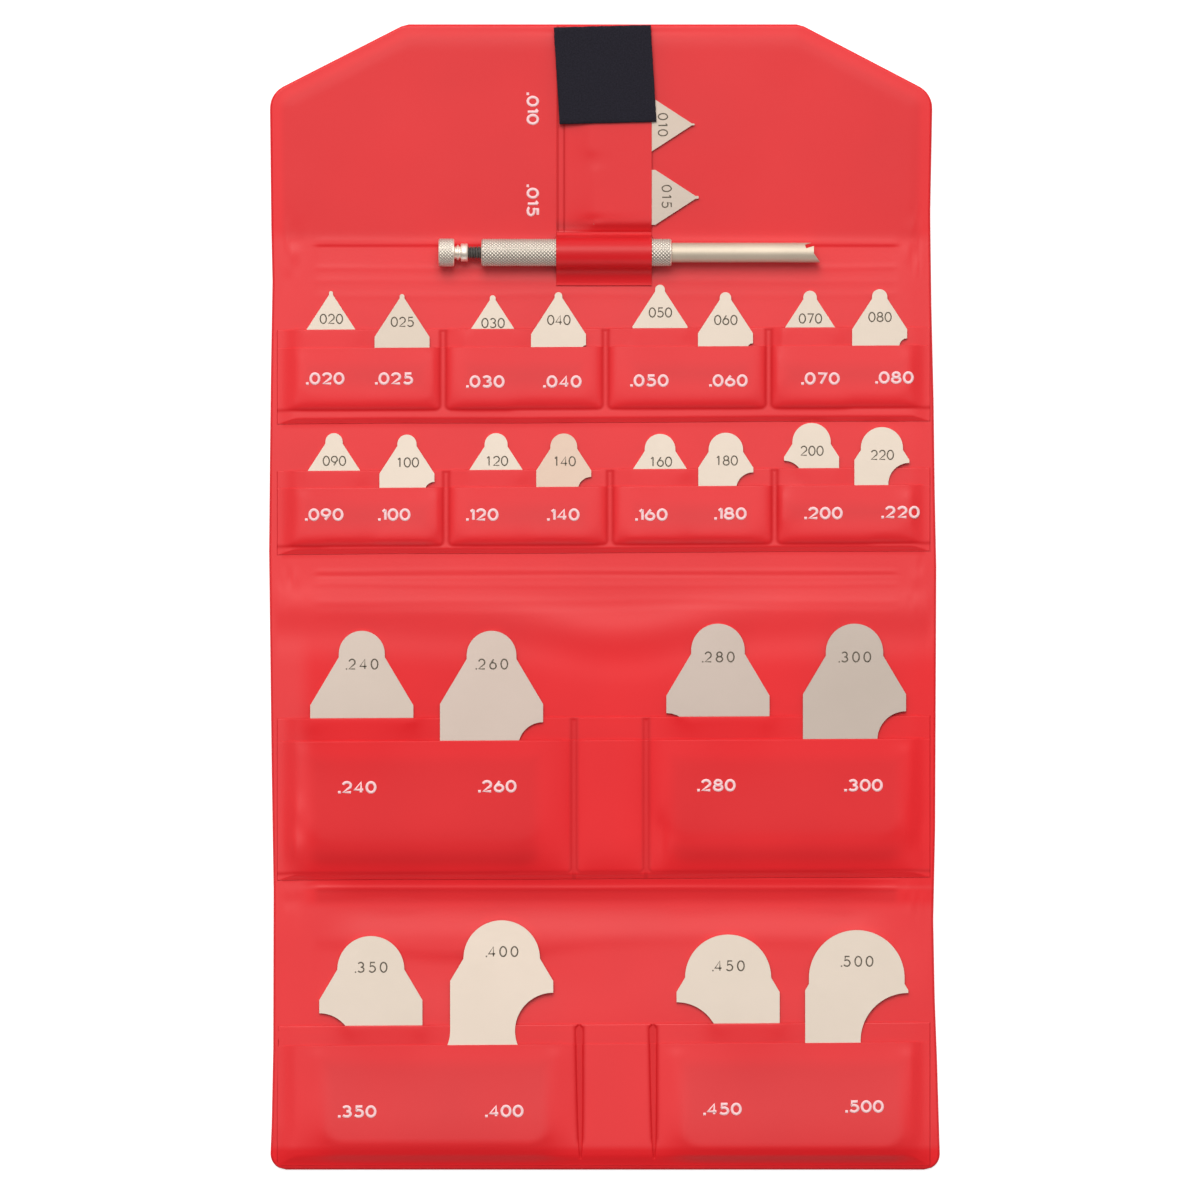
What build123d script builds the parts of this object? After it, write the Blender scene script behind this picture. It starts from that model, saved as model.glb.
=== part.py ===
from build123d import *
from math import asin, atan, atan2, acos, cos, degrees, hypot, radians, sin, tan
import os

os.makedirs("parts", exist_ok=True)

# A radius gauge set in a fold-up vinyl wallet, lying open on its back.
# X runs to the right across the wallet, Y up towards the flap, Z out of the pockets.
# The origin is under the middle of the wallet, on the surface that it lies on.

inch = 25.4

# Sheet and patch thicknesses
cover_thickness = 0.5
liner_thickness = 0.35
film_thickness = 0.35
strap_thickness = 0.35
patch_thickness = 1.0
blade_thickness = 1.0
slack = 0.05

# Wallet outline, measured from its top edge
flap_height = 58.5
flap_top_width = 103.2
flap_shoulder_drop = 18.8
shoulder_radius = 6.0
flap_corner_radius = 4.0
bottom_corner_radius = 4.0
liner_inset = 0.5
film_inset = 1.0
side_margin = 3.9
weld_half_width = 0.9

# Pocket humps: the plan length of their sloping sides, and their lower corners
small_ramp = 1.0
large_ramp = 2.5
small_corner = 1.2
large_corner = 2.3
blade_side_room = 0.15
mouth_overshoot = 6.0

# Blanks. A head stands on a neck, its flanks run out to a shelf wide of the largest
# head, then come a straight lip, a notch, and a land above the foot's corners.
small_blank = dict(largest=0.220 * inch, shelf=1.71, neck=0.5, lip=0.78, land=1.7, flank=33.0, foot=0.8)
large_blank = dict(largest=0.500 * inch, shelf=1.0, neck=0.0, lip=2.3, land=2.35, flank=30.7, foot=1.6)
middle_blank = dict(largest=0.300 * inch, shelf=6.08, neck=0.9, lip=4.5, land=11.0, flank=30.7, foot=1.6)
largest_neck = 1.6

# Pocket rows from the flap down. In a cell the numbers between blades are clear widths,
# and a blade is its number, how far its tip stands out of its pocket's mouth, and the side
# of its notch (1 is right). A blade's number is its radius in thousandths of an inch.
# A cell without blades is a width.
# Rows 3 and 4 start at a fold, fold_gap below the row above.
row_1 = dict(name="row_1", drop=11.4, step=4.9, room=1.15, hem=3.6, blank=small_blank, cells=[
    (5.1, ("020", 9.9, 1), 4.3, ("025", 14.0, 1), 3.6),
    (5.9, ("030", 8.8, 1), 2.9, ("040", 14.5, 1), 5.2),
    (7.2, ("050", 11.6, 1), 2.8, ("060", 14.5, 1), 4.2),
    (3.7, ("070", 10.0, 1), 3.9, ("080", 15.3, 1), 4.4),
])
row_2 = dict(name="row_2", drop=12.4, step=4.6, room=0.45, hem=1.9, blank=small_blank, cells=[
    (5.9, ("090", 9.6, 1), 4.8, ("100", 13.8, 1), 3.1),
    (6.0, ("120", 9.6, 1), 3.4, ("140", 14.1, 1), 5.0),
    (6.0, ("160", 9.4, 1), 2.9, ("180", 14.3, 1), 5.6),
    (2.6, ("200", 12.3, -1), 4.1, ("220", 15.8, 1), 3.8),
])
row_3 = dict(name="row_3", fold_gap=5.6, drop=38.0, step=6.1, room=4.6, hem=1.6, blank=middle_blank, cells=[
    (6.9, ("240", 22.9, 1), 7.1, ("260", 29.0, 1), 8.2),
    19.2,
    (5.4, ("280", 24.8, -1), 8.9, ("300", 30.9, 1), 4.7),
])
row_4 = dict(name="row_4", fold_gap=2.9, drop=35.7, step=5.3, room=0.5, hem=1.9, blank=large_blank, cells=[
    (9.3, ("350", 23.4, -1), 7.4, ("400", 32.9, 1), 6.9),
    19.6,
    (6.3, ("450", 23.8, -1), 6.8, ("500", 30.3, 1), 4.1),
])
rows = [row_1, row_2, row_3, row_4]

# Strap down the middle of the flap: a side pocket, then a loop round the holder
strap_width = 1.0 * inch
strap_side_weld = 2.1
strap_top_weld = 3.2
strap_head_room = 16.2
strap_blade_gap = 4.8
strap_foot_room = 0.5
strap_weld = 0.9
strap_lip = 0.7
loop_upper_gap = 1.05
loop_lower_gap = 3.95
strap_blades = [("010", 11.4), ("015", 12.5)]

# Closure patches, hook and loop
patch_size = 25.8
patch_top_gap = 13.5
patch_shift = 0.3
patch_turn = 2.3
flap_wrap = 6.0
fold_wrap = 4.0

# Holder: knurled body, nose tube, push rod, screw and knob, all on one axis along X
body_radius = 3.65
body_length = 50.6
body_shift = -7.3
body_chamfer = 0.35
tube_radius = 2.6
tube_reach = 37.7
tube_seat = 12.0
knob_radius = 3.75
knob_length = 4.2
knob_chamfer = 0.3
neck_radius = 1.55
neck_length = 1.7
collar_radius = 2.4
collar_length = 1.9
screw_radius = 1.75
screw_gap = 3.55
screw_depth = 12.0
spigot_radius = 0.9
spigot_length = 5.0
rod_radius = 1.5
rod_tip_radius = 0.35
rod_taper = 3.0
travel = 3.4
running_clearance = 0.05
knob_floor_gap = 0.1
loop_clearance = 0.02

# Nose: a slanted slit for the blade above, and a raked beak below
slit_angle = 18.0
slit_inset = 2.2
slit_offset = 1.53
beak_length = 1.7
beak_start = 0.33

# Levels of the stack
cover_bottom = patch_thickness
liner_bottom = cover_bottom + cover_thickness
liner_top = liner_bottom + liner_thickness
front_blade_level = liner_top + film_thickness
back_hump = blade_thickness + slack
front_hump = back_hump + slack
strap_hump = blade_thickness + slack


def half_width(blank):
    return blank["largest"] + blank["shelf"]


def notch_level(blank):
    """Depth of the notch's centre under the tip, set by the largest head of the blank."""
    flank_drop = blank["shelf"] / tan(radians(blank["flank"]))
    return 2 * blank["largest"] + blank["neck"] + flank_drop + blank["lip"]


def blade_length(blank):
    return notch_level(blank) + 2 * blank["largest"] + blank["land"]


def foot_overhang(blank, radius):
    return min(blank["foot"], radius)


# Rows 3 and 4 share one blade width
middle_blank["shelf"] = half_width(large_blank) - middle_blank["largest"]

# Strap stations, as distances down from the wallet's top edge
small_width = 2 * half_width(small_blank)
strap_blade_stations = [
    strap_top_weld + strap_head_room + small_width / 2,
    strap_top_weld + strap_head_room + small_width * 1.5 + strap_blade_gap,
]
strap_hump_end = strap_blade_stations[1] + small_width / 2 + strap_foot_room + small_ramp
strap_weld_end = strap_hump_end + strap_weld
loop_radius = body_radius + loop_clearance
holder_station = strap_weld_end + loop_upper_gap + strap_thickness + loop_radius
loop_end = holder_station + loop_radius + strap_thickness + loop_lower_gap
strap_end = loop_end + strap_lip


def cell_width(row, cell):
    if not isinstance(cell, tuple):
        return cell
    left_room, back, gap, front, right_room = cell
    return left_room + gap + right_room + 4 * half_width(row["blank"])


# Row stations down from the top edge: each row's mouths, bottom weld and hem
station = strap_end
for row in rows:
    row["ramp"] = small_ramp if row["blank"] is small_blank else large_ramp
    row["corner"] = small_corner if row["blank"] is small_blank else large_corner
    row["fold"] = station + row.get("fold_gap", 0)
    row["back_mouth"] = row["fold"] + row["drop"]
    row["front_mouth"] = row["back_mouth"] + row["step"]
    filled = [cell for cell in row["cells"] if isinstance(cell, tuple)]
    back_tips = [row["back_mouth"] - cell[1][1] for cell in filled]
    front_tips = [row["front_mouth"] - cell[3][1] for cell in filled]
    lowest_foot = max(back_tips + front_tips) + blade_length(row["blank"])
    row["weld"] = lowest_foot + blade_side_room + row["ramp"] + row["room"]
    row["hem_edge"] = row["weld"] + row["hem"]
    row["width"] = sum(cell_width(row, cell) for cell in row["cells"])
    station = row["hem_edge"]

wallet_height = rows[-1]["hem_edge"]
pocket_width = max(row["width"] for row in rows)
wallet_width = pocket_width + 2 * side_margin


def level(distance):
    """Y of a place that lies this far below the wallet's top edge."""
    return wallet_height / 2 - distance


folds = [flap_height, row_3["fold"], row_4["fold"]]
print("wallet", round(wallet_width, 2), round(wallet_height, 2))
print("folds at y", [round(level(fold), 2) for fold in folds])


def wallet_sheet(inset):
    """The wallet's outline: a rectangle whose flap corners are cut on a slant."""
    half = wallet_width / 2
    top, bottom = level(0), level(wallet_height)
    shoulder = level(flap_shoulder_drop)
    with BuildSketch(mode=Mode.PRIVATE) as outline:
        with BuildLine():
            Polyline(
                (flap_top_width / 2, top), (half, shoulder), (half, bottom),
                (-half, bottom), (-half, shoulder), (-flap_top_width / 2, top),
                close=True,
            )
        make_face()
        fillet(outline.vertices().group_by(Axis.Y)[0], bottom_corner_radius)
        fillet(outline.vertices().group_by(Axis.Y)[-2], shoulder_radius)
        fillet(outline.vertices().group_by(Axis.Y)[-1], flap_corner_radius)
        if inset:
            offset(amount=-inset)
    return outline.sketch


# Cover, the outer sheet
with BuildPart() as cover:
    with BuildSketch(Plane.XY.offset(cover_bottom)):
        add(wallet_sheet(0))
    extrude(amount=cover_thickness)
cover.part.label = "wallet_cover"
export_step(cover.part, "parts/wallet_cover.step")

# Liner, the inner sheet, welded to the cover round its edge
with BuildPart() as liner:
    with BuildSketch(Plane.XY.offset(liner_bottom)):
        add(wallet_sheet(liner_inset))
    extrude(amount=liner_thickness)
liner.part.label = "wallet_liner"
export_step(liner.part, "parts/wallet_liner.step")


def hump(base, left, right, bottom, top, height, ramp, corner, mode):
    """A low mound with sloping sides and two cut lower corners."""
    with BuildSketch(Plane.XY.offset(base)) as plan:
        with Locations(((left + right) / 2, (bottom + top) / 2)):
            Rectangle(right - left, top - bottom)
        chamfer(plan.vertices().group_by(Axis.Y)[0], corner)
    extrude(plan.sketch, amount=height, taper=degrees(atan(ramp / height)), mode=mode)


def pocket_film(label, row, base, mouth, hump_height, hump_spans):
    """A strip of film that lies flat at its welds and runs over the blades between them."""
    mouth_y, weld_y, hem_y = level(mouth), level(row["weld"]), level(row["hem_edge"])
    open_y = mouth_y + mouth_overshoot
    ramp, corner = row["ramp"], row["corner"]
    growth = ramp * film_thickness / hump_height
    with BuildPart() as film:
        with BuildSketch(Plane.XY.offset(base)):
            with Locations((0, (open_y + hem_y) / 2)):
                Rectangle(wallet_width, open_y - hem_y)
        extrude(amount=film_thickness)
        for left, right in hump_spans:
            hump(base, left - growth, right + growth, weld_y - growth, open_y + ramp + growth,
                 hump_height + film_thickness, ramp * (1 + film_thickness / hump_height),
                 corner + growth, Mode.ADD)
        with BuildSketch(Plane.XY.offset(base)):
            with Locations((0, (mouth_y + hem_y) / 2)):
                Rectangle(wallet_width, mouth_y - hem_y)
            add(wallet_sheet(film_inset), mode=Mode.INTERSECT)
        extrude(amount=hump_height + film_thickness, mode=Mode.INTERSECT)
        for left, right in hump_spans:
            hump(base, left, right, weld_y, open_y + ramp, hump_height, ramp, corner, Mode.SUBTRACT)
    film.part.label = label
    export_step(film.part, f"parts/{label}.step")


def blade_radius(number):
    return int(number) * inch / 1000


def blade_outline(radius, blank, side, neck):
    """A blade's outline with its tip at the origin and its body below; side is the notch's."""
    half, length, notch = half_width(blank), blade_length(blank), notch_level(blank)
    neck_end = radius + neck
    shoulder = neck_end + (half - radius) / tan(radians(blank["flank"]))
    overhang = foot_overhang(blank, radius)
    foot = half + overhang
    sweep = acos(1 - overhang / radius)
    diagonal = radius * sin(radians(45))

    def at(x, depth):
        return (side * x, -depth)

    def flare(angle):
        return at(-half - radius * (1 - cos(angle)), notch + radius * sin(angle))

    with BuildSketch() as outline:
        with BuildLine():
            ThreePointArc(at(-radius, radius), at(0, 0), at(radius, radius))
            if neck:
                Line(at(radius, radius), at(radius, neck_end))
                Line(at(-radius, radius), at(-radius, neck_end))
            Polyline(at(radius, neck_end), at(half, shoulder), at(half, notch - radius))
            ThreePointArc(at(half, notch - radius), at(half - radius, notch), at(half, notch + radius))
            Line(at(half, notch + radius), at(half, length - radius))
            ThreePointArc(
                at(half, length - radius),
                at(half - radius + diagonal, length - radius + diagonal),
                at(half - radius, length),
            )
            Polyline(at(half - radius, length), at(-foot, length), flare(sweep))
            ThreePointArc(flare(sweep), flare(sweep / 2), flare(0))
            Polyline(flare(0), at(-half, shoulder), at(-radius, neck_end))
        make_face()
    return outline.sketch


def blade(number, blank, side, plane):
    """One gauge blade, cut from sheet; the plane sets its tip and which way it points."""
    label = f"gauge_{number}"
    radius = blade_radius(number)
    neck = largest_neck if radius >= large_blank["largest"] else blank["neck"]
    with BuildPart() as gauge:
        with BuildSketch(plane):
            add(blade_outline(radius, blank, side, neck))
        extrude(amount=blade_thickness)
    gauge.part.label = label
    export_step(gauge.part, f"parts/{label}.step")


# Pocket rows: in each cell the left blade lies under both films, the right one between them
for row in rows:
    half = half_width(row["blank"])
    back_spans, front_spans = [], []
    left = -row["width"] / 2
    for cell in row["cells"]:
        right = left + cell_width(row, cell)
        if isinstance(cell, tuple):
            left_room, back, gap, front, right_room = cell
            back_x = left + left_room + half
            front_x = right - right_room - half
            back_plane = Plane((back_x, level(row["back_mouth"] - back[1]), liner_top))
            front_plane = Plane((front_x, level(row["front_mouth"] - front[1]), front_blade_level))
            blade(back[0], row["blank"], back[2], back_plane)
            blade(front[0], row["blank"], front[2], front_plane)
            foot = foot_overhang(row["blank"], blade_radius(back[0]))
            left_side = half + (foot if back[2] > 0 else 0) + blade_side_room + row["ramp"]
            right_side = half + (foot if back[2] < 0 else 0) + blade_side_room + row["ramp"]
            back_spans.append((back_x - left_side, back_x + right_side))
            front_spans.append((left + weld_half_width, right - weld_half_width))
        left = right
    pocket_film(f"{row['name']}_back_pocket", row, liner_top, row["back_mouth"], back_hump, back_spans)
    pocket_film(
        f"{row['name']}_front_pocket", row, front_blade_level, row["front_mouth"], front_hump, front_spans
    )

# The two smallest blades lie in the strap's side pocket and point to the right
for (number, stand), blade_station in zip(strap_blades, strap_blade_stations):
    tip = (strap_width / 2 + stand, level(blade_station), liner_top)
    blade(number, small_blank, 1, Plane(tip, x_dir=(0, -1, 0), z_dir=(0, 0, 1)))

# Strap
holder_y = level(holder_station)
holder_z = liner_top + knob_radius + knob_floor_gap
axis_height = holder_z - liner_top


def loop_foot(reach, radius):
    """Plan width of a film's foot where it leaves the liner on its way up to the loop."""
    slope = atan2(axis_height, reach) + asin(radius / hypot(reach, axis_height))
    return strap_thickness / sin(slope)


upper_reach = holder_station - strap_weld_end
lower_reach = loop_end - holder_station
upper_foot = loop_foot(upper_reach, loop_radius + strap_thickness)
lower_foot = loop_foot(lower_reach, loop_radius + strap_thickness)
strap_left, strap_right = -strap_width / 2, strap_width / 2
strap_top = level(0) - liner_inset
flat_end = level(strap_weld_end) - upper_foot
lip_start = level(loop_end) + lower_foot

with BuildPart() as strap:
    pocket_top, pocket_end = level(strap_top_weld), level(strap_hump_end)
    growth = small_ramp * strap_thickness / strap_hump
    with BuildSketch(Plane.XY.offset(liner_top)):
        with Locations((0, (strap_top + flat_end) / 2)):
            Rectangle(strap_width, strap_top - flat_end)
    extrude(amount=strap_thickness)
    hump(liner_top, strap_left + strap_side_weld - growth, strap_right + mouth_overshoot,
         pocket_end - growth, pocket_top + growth, strap_hump + strap_thickness,
         small_ramp * (1 + strap_thickness / strap_hump), small_corner + growth, Mode.ADD)
    with BuildSketch(Plane.XY.offset(liner_top)):
        with Locations((0, (strap_top + flat_end) / 2)):
            Rectangle(strap_width, strap_top - flat_end)
    extrude(amount=strap_hump + strap_thickness, mode=Mode.INTERSECT)
    hump(liner_top, strap_left + strap_side_weld, strap_right + mouth_overshoot,
         pocket_end, pocket_top, strap_hump, small_ramp, small_corner, Mode.SUBTRACT)
    with BuildSketch(Plane.YZ.offset(strap_left)):
        with BuildLine():
            CenterArc((holder_y, holder_z), loop_radius + strap_thickness, 0, 360)
            Line((holder_y + upper_reach, liner_top), (holder_y - lower_reach, liner_top))
        make_hull()
        with Locations((holder_y, liner_top)):
            Rectangle(4 * lower_reach, 4 * axis_height, align=(Align.CENTER, Align.MIN), mode=Mode.INTERSECT)
        with BuildSketch(mode=Mode.PRIVATE) as hollow:
            with BuildLine():
                CenterArc((holder_y, holder_z), loop_radius, 0, 360)
                Line(
                    (holder_y + upper_reach - upper_foot, liner_top),
                    (holder_y - lower_reach + lower_foot, liner_top),
                )
            make_hull()
        add(hollow.sketch, mode=Mode.SUBTRACT)
    extrude(amount=strap_width)
    with BuildSketch(Plane.XY.offset(liner_top)):
        with Locations((0, (lip_start + level(strap_end)) / 2)):
            Rectangle(strap_width, lip_start - level(strap_end))
    extrude(amount=strap_thickness)
strap.part.label = "holder_strap"
export_step(strap.part, "parts/holder_strap.step")

# Closure patches: one on the flap's strap, its mate where the folded flap lands, on the back
patch_station = patch_top_gap
back_patch_station = 2 * (folds[1] - folds[0]) + patch_station + flap_wrap + fold_wrap
flap_patch_level = liner_top + strap_hump + strap_thickness


def patch(label, station, base, turn):
    with BuildPart() as pad:
        with BuildSketch(Plane.XY.offset(base)):
            with Locations(Location((patch_shift, level(station), 0), (0, 0, turn))):
                Rectangle(patch_size, patch_size)
        extrude(amount=patch_thickness)
    pad.part.label = label
    export_step(pad.part, f"parts/{label}.step")


patch("flap_patch", patch_station, flap_patch_level, patch_turn)
patch("back_patch", back_patch_station, 0, 0)

# Holder
holder_axis = Axis((0, holder_y, holder_z), (1, 0, 0))
profile_plane = Plane((0, holder_y, holder_z), x_dir=(1, 0, 0), z_dir=(0, -1, 0))
body_left = body_shift - body_length / 2
body_right = body_shift + body_length / 2
collar_right = body_left - screw_gap
collar_left = collar_right - collar_length
knob_right = collar_left - neck_length
knob_left = knob_right - knob_length
screw_end = body_left + screw_depth
nose = body_right + tube_reach
slit_bottom = nose - slit_inset
rod_end = nose - 2 * running_clearance - travel
screw_bore = screw_radius + running_clearance
rod_bore = rod_radius + running_clearance


def ring(left, right, outer, inner):
    """Half section of a tube along the holder's axis."""
    with BuildSketch() as section:
        with BuildLine():
            Polyline((left, inner), (right, inner), (right, outer), (left, outer), close=True)
        make_face()
    return section.sketch


with BuildPart() as body:
    with BuildSketch(profile_plane) as section:
        add(ring(body_left, body_right, body_radius, rod_bore))
        chamfer(section.vertices().group_by(Axis.Y)[-1], body_chamfer)
    revolve(axis=holder_axis)
    thread_end = screw_end + travel + running_clearance
    with BuildSketch(profile_plane):
        add(ring(body_left, thread_end, screw_bore, rod_bore / 2))
        add(ring(body_right - tube_seat, body_right, tube_radius, rod_bore / 2))
    revolve(axis=holder_axis, mode=Mode.SUBTRACT)
body.part.label = "holder_body"
export_step(body.part, "parts/holder_body.step")

with BuildPart() as tube:
    with BuildSketch(profile_plane):
        add(ring(body_right - tube_seat, nose + beak_length, tube_radius, rod_bore))
    revolve(axis=holder_axis)
    with BuildSketch(Plane((nose, holder_y, holder_z))):
        with BuildLine():
            Polyline(
                (0, 2 * tube_radius), (0, -beak_start), (beak_length, -tube_radius),
                (beak_length, -2 * tube_radius), (3 * beak_length, -2 * tube_radius),
                (3 * beak_length, 2 * tube_radius), close=True,
            )
        make_face()
    extrude(amount=tube_radius, both=True, mode=Mode.SUBTRACT)
    with BuildSketch(Plane((slit_bottom, holder_y + slit_offset, holder_z)).rotated((0, 0, slit_angle))):
        Rectangle(2 * slit_inset, blade_thickness + slack, align=(Align.MIN, Align.CENTER))
    extrude(amount=tube_radius, both=True, mode=Mode.SUBTRACT)
tube.part.label = "holder_tube"
export_step(tube.part, "parts/holder_tube.step")

with BuildPart() as rod:
    with BuildSketch(profile_plane):
        with BuildLine():
            Polyline(
                (screw_end, 0), (screw_end, rod_radius), (rod_end - rod_taper, rod_radius),
                (rod_end, rod_tip_radius), (rod_end, 0), close=True,
            )
        make_face()
    revolve(axis=holder_axis)
rod.part.label = "clamp_rod"
export_step(rod.part, "parts/clamp_rod.step")

with BuildPart() as screw:
    with BuildSketch(profile_plane):
        with BuildLine():
            Polyline(
                (collar_right - spigot_length, 0), (collar_right - spigot_length, spigot_radius),
                (collar_right, spigot_radius), (collar_right, screw_radius),
                (screw_end, screw_radius), (screw_end, 0), close=True,
            )
        make_face()
    revolve(axis=holder_axis)
screw.part.label = "clamp_screw"
export_step(screw.part, "parts/clamp_screw.step")

with BuildPart() as knob:
    with BuildSketch(profile_plane) as section:
        with BuildLine():
            Polyline(
                (knob_left, 0), (knob_left, knob_radius), (knob_right, knob_radius),
                (knob_right, neck_radius), (collar_left, neck_radius), (collar_left, collar_radius),
                (collar_right, collar_radius), (collar_right, spigot_radius),
                (collar_right - spigot_length, spigot_radius), (collar_right - spigot_length, 0),
                close=True,
            )
        make_face()
        chamfer(section.vertices().group_by(Axis.Y)[-1].sort_by(Axis.X)[0], knob_chamfer)
    revolve(axis=holder_axis)
knob.part.label = "clamp_knob"
export_step(knob.part, "parts/clamp_knob.step")
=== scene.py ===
import math
import bpy
import numpy as np
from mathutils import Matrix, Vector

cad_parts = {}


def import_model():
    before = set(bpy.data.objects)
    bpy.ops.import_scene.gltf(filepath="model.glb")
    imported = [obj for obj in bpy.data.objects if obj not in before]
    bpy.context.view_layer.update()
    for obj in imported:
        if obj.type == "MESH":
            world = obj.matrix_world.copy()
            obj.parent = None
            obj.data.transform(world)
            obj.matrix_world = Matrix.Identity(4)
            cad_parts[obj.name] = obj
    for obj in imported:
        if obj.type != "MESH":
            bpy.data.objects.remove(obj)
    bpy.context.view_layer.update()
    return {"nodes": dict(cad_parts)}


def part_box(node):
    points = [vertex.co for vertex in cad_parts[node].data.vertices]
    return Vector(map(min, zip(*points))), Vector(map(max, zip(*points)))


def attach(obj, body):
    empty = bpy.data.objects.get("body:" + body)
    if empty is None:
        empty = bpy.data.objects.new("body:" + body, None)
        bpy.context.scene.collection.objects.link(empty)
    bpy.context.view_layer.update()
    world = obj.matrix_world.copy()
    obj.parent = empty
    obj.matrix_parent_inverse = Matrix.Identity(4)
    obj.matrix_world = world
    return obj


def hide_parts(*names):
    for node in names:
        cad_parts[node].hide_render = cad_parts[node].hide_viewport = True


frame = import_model()

# Every length below is in millimetres, in the frame's own axes; MM turns it into metres.
MM = 0.001

# Photograph: its frame is a square of this side, seen from straight above
VIEW_WIDTH = 319.15
VIEW_CENTRE = (-1.06, -0.8)
VIEW_LEVEL = 2.0
LENS = 338.0
SENSOR = 36.0

# Sheets
COVER = 0.5
FILM = 0.35
FLOOR_GAP = 0.4
RIM_REACH = 6.5
RIM_DROP = 0.25
FOOT_RIM_DROP = 0.6
RIM_WELD = 2.1
ROW_4_RIM = 1.3
PUFF_RISE = 24.0
PUFF_EDGE = 3.0


def low(node):
    return [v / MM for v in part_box(node)[0]]


def high(node):
    return [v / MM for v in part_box(node)[1]]


def radius_of(node):
    """Radius of a round node that lies along X."""
    return (high(node)[1] - low(node)[1]) / 2


LINER_TOP = high("wallet_liner")[2]
BLADE_TOP = high("gauge_500")[2]
TOP_Y = high("wallet_cover")[1]
BOTTOM_Y = low("wallet_cover")[1]

# Pocket rows: the mouths' and hems' levels come from the frame, and the rest is read off the
# photograph. tilt is the row's rise from left to right, in mm per mm, bar the half width of the melted
# bars between the cells and shade how much painted shade darkens them, load and reach how the film
# bows out by itself near its welds, puff how far it stands off the blades, foot and corner the place and
# rounding of that puffed plate, and mouth how far the back film's mouth stands up over a blade.
SHALLOW = dict(bar=0.72, shade=0.0, load=0.28, reach=2.6, puff=0.0, foot=0.6, corner=2.5, mouth=0.12)
ROWS = [
    dict(SHALLOW, name="row_1", separators=(-42.8, 0.4, 43.75), weld=50.0, tilt=0.0045),
    dict(SHALLOW, name="row_2", separators=(-42.0, 1.6, 45.35), weld=13.9, tilt=0.0055),
    dict(name="row_3", separators=(-8.0, 11.2), bar=0.72, shade=0.5, weld=-73.2, tilt=0.0045,
         load=0.05, reach=9.0, puff=0.55, foot=-1.6, corner=7.0, mouth=0.8),
    dict(name="row_4", separators=(-6.6, 13.0), bar=1.05, shade=0.55, weld=-150.0, tilt=0.0060,
         load=0.015, reach=2.4, puff=0.85, foot=-2.7, corner=7.0, mouth=0.5),
]
SIDE_WELDS = (-85.4, 85.2)
for row in ROWS:
    row["back_mouth"] = high(row["name"] + "_back_pocket")[1]
    row["front_mouth"] = high(row["name"] + "_front_pocket")[1]
    row["hem"] = low(row["name"] + "_front_pocket")[1]

GAUGES = sorted(name for name in frame["nodes"] if name.startswith("gauge_"))


def in_row(name, row):
    """Whether a blade stands in this row's pockets."""
    return row["hem"] < low(name)[1] < row["front_mouth"]


# Small maths

def smooth(t):
    t = np.clip(t, 0, 1)
    return t * t * (3 - 2 * t)


def bump(distance, width):
    return np.exp(-(distance / width) ** 2)


def ease(place, start, length):
    """0 before start and 1 a length beyond it, softly; a negative length counts downward."""
    return smooth((place - start) / length)


def interpolated(grid, ix, iy, tx, ty):
    below = grid[iy, ix] * (1 - tx) + grid[iy, ix + 1] * tx
    above = grid[iy + 1, ix] * (1 - tx) + grid[iy + 1, ix + 1] * tx
    return below * (1 - ty) + above * ty


def soft_noise(x, y, cell, seed):
    """Smooth noise between -1 and 1 whose lumps are about one cell across."""
    grid = np.random.default_rng(seed).uniform(-1, 1, (97, 97))
    fx, fy = x / cell + 40.3, y / cell + 40.7
    ix, iy = np.floor(fx).astype(int), np.floor(fy).astype(int)
    return interpolated(grid, ix % 96, iy % 96, smooth(fx - ix), smooth(fy - iy))


def drifting(x, cell, seed):
    """Smooth noise that only changes across the wallet."""
    return soft_noise(x, 0 * x, cell, seed)


def graded(start, stop, coarse, spots):
    """Places from start to stop, coarse apart, and closer together near spots of (place, reach, step)."""
    places = [start]
    while places[-1] < stop:
        here = places[-1]
        step = coarse
        for place, reach, fine in spots:
            step = min(step, fine + 0.3 * max(0.0, abs(here - place) - reach))
            if here < place - reach:
                step = min(step, max(fine, place - reach - here))
        places.append(here + step)
    places[-1] = stop
    if len(places) > 2 and places[-1] - places[-2] < 0.3 * (places[-2] - places[-3]):
        places.pop(-2)
    return np.array(places)


# The wallet's outline, with its soft sides

def rounded(points, radii, spacing=0.6):
    """A closed polyline through these corners, each one rounded to its radius."""
    result = []
    points = [complex(*point) for point in points]
    for i, (corner, radius) in enumerate(zip(points, radii)):
        if radius == 0:
            result.append(corner)
            continue
        before, after = points[i - 1] - corner, points[(i + 1) % len(points)] - corner
        before, after = before / abs(before), after / abs(after)
        half = abs(np.angle(after / before)) / 2
        middle = before + after
        centre = corner + middle / abs(middle) * radius / math.sin(half)
        start, end = [corner + side * radius / math.tan(half) - centre for side in (before, after)]
        angle = np.angle(end / start)
        pieces = max(2, int(abs(angle) * radius / spacing))
        result += [centre + start * np.exp(1j * angle * k / pieces) for k in range(pieces + 1)]
    return np.array([(place.real, place.imag) for place in result])


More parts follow.
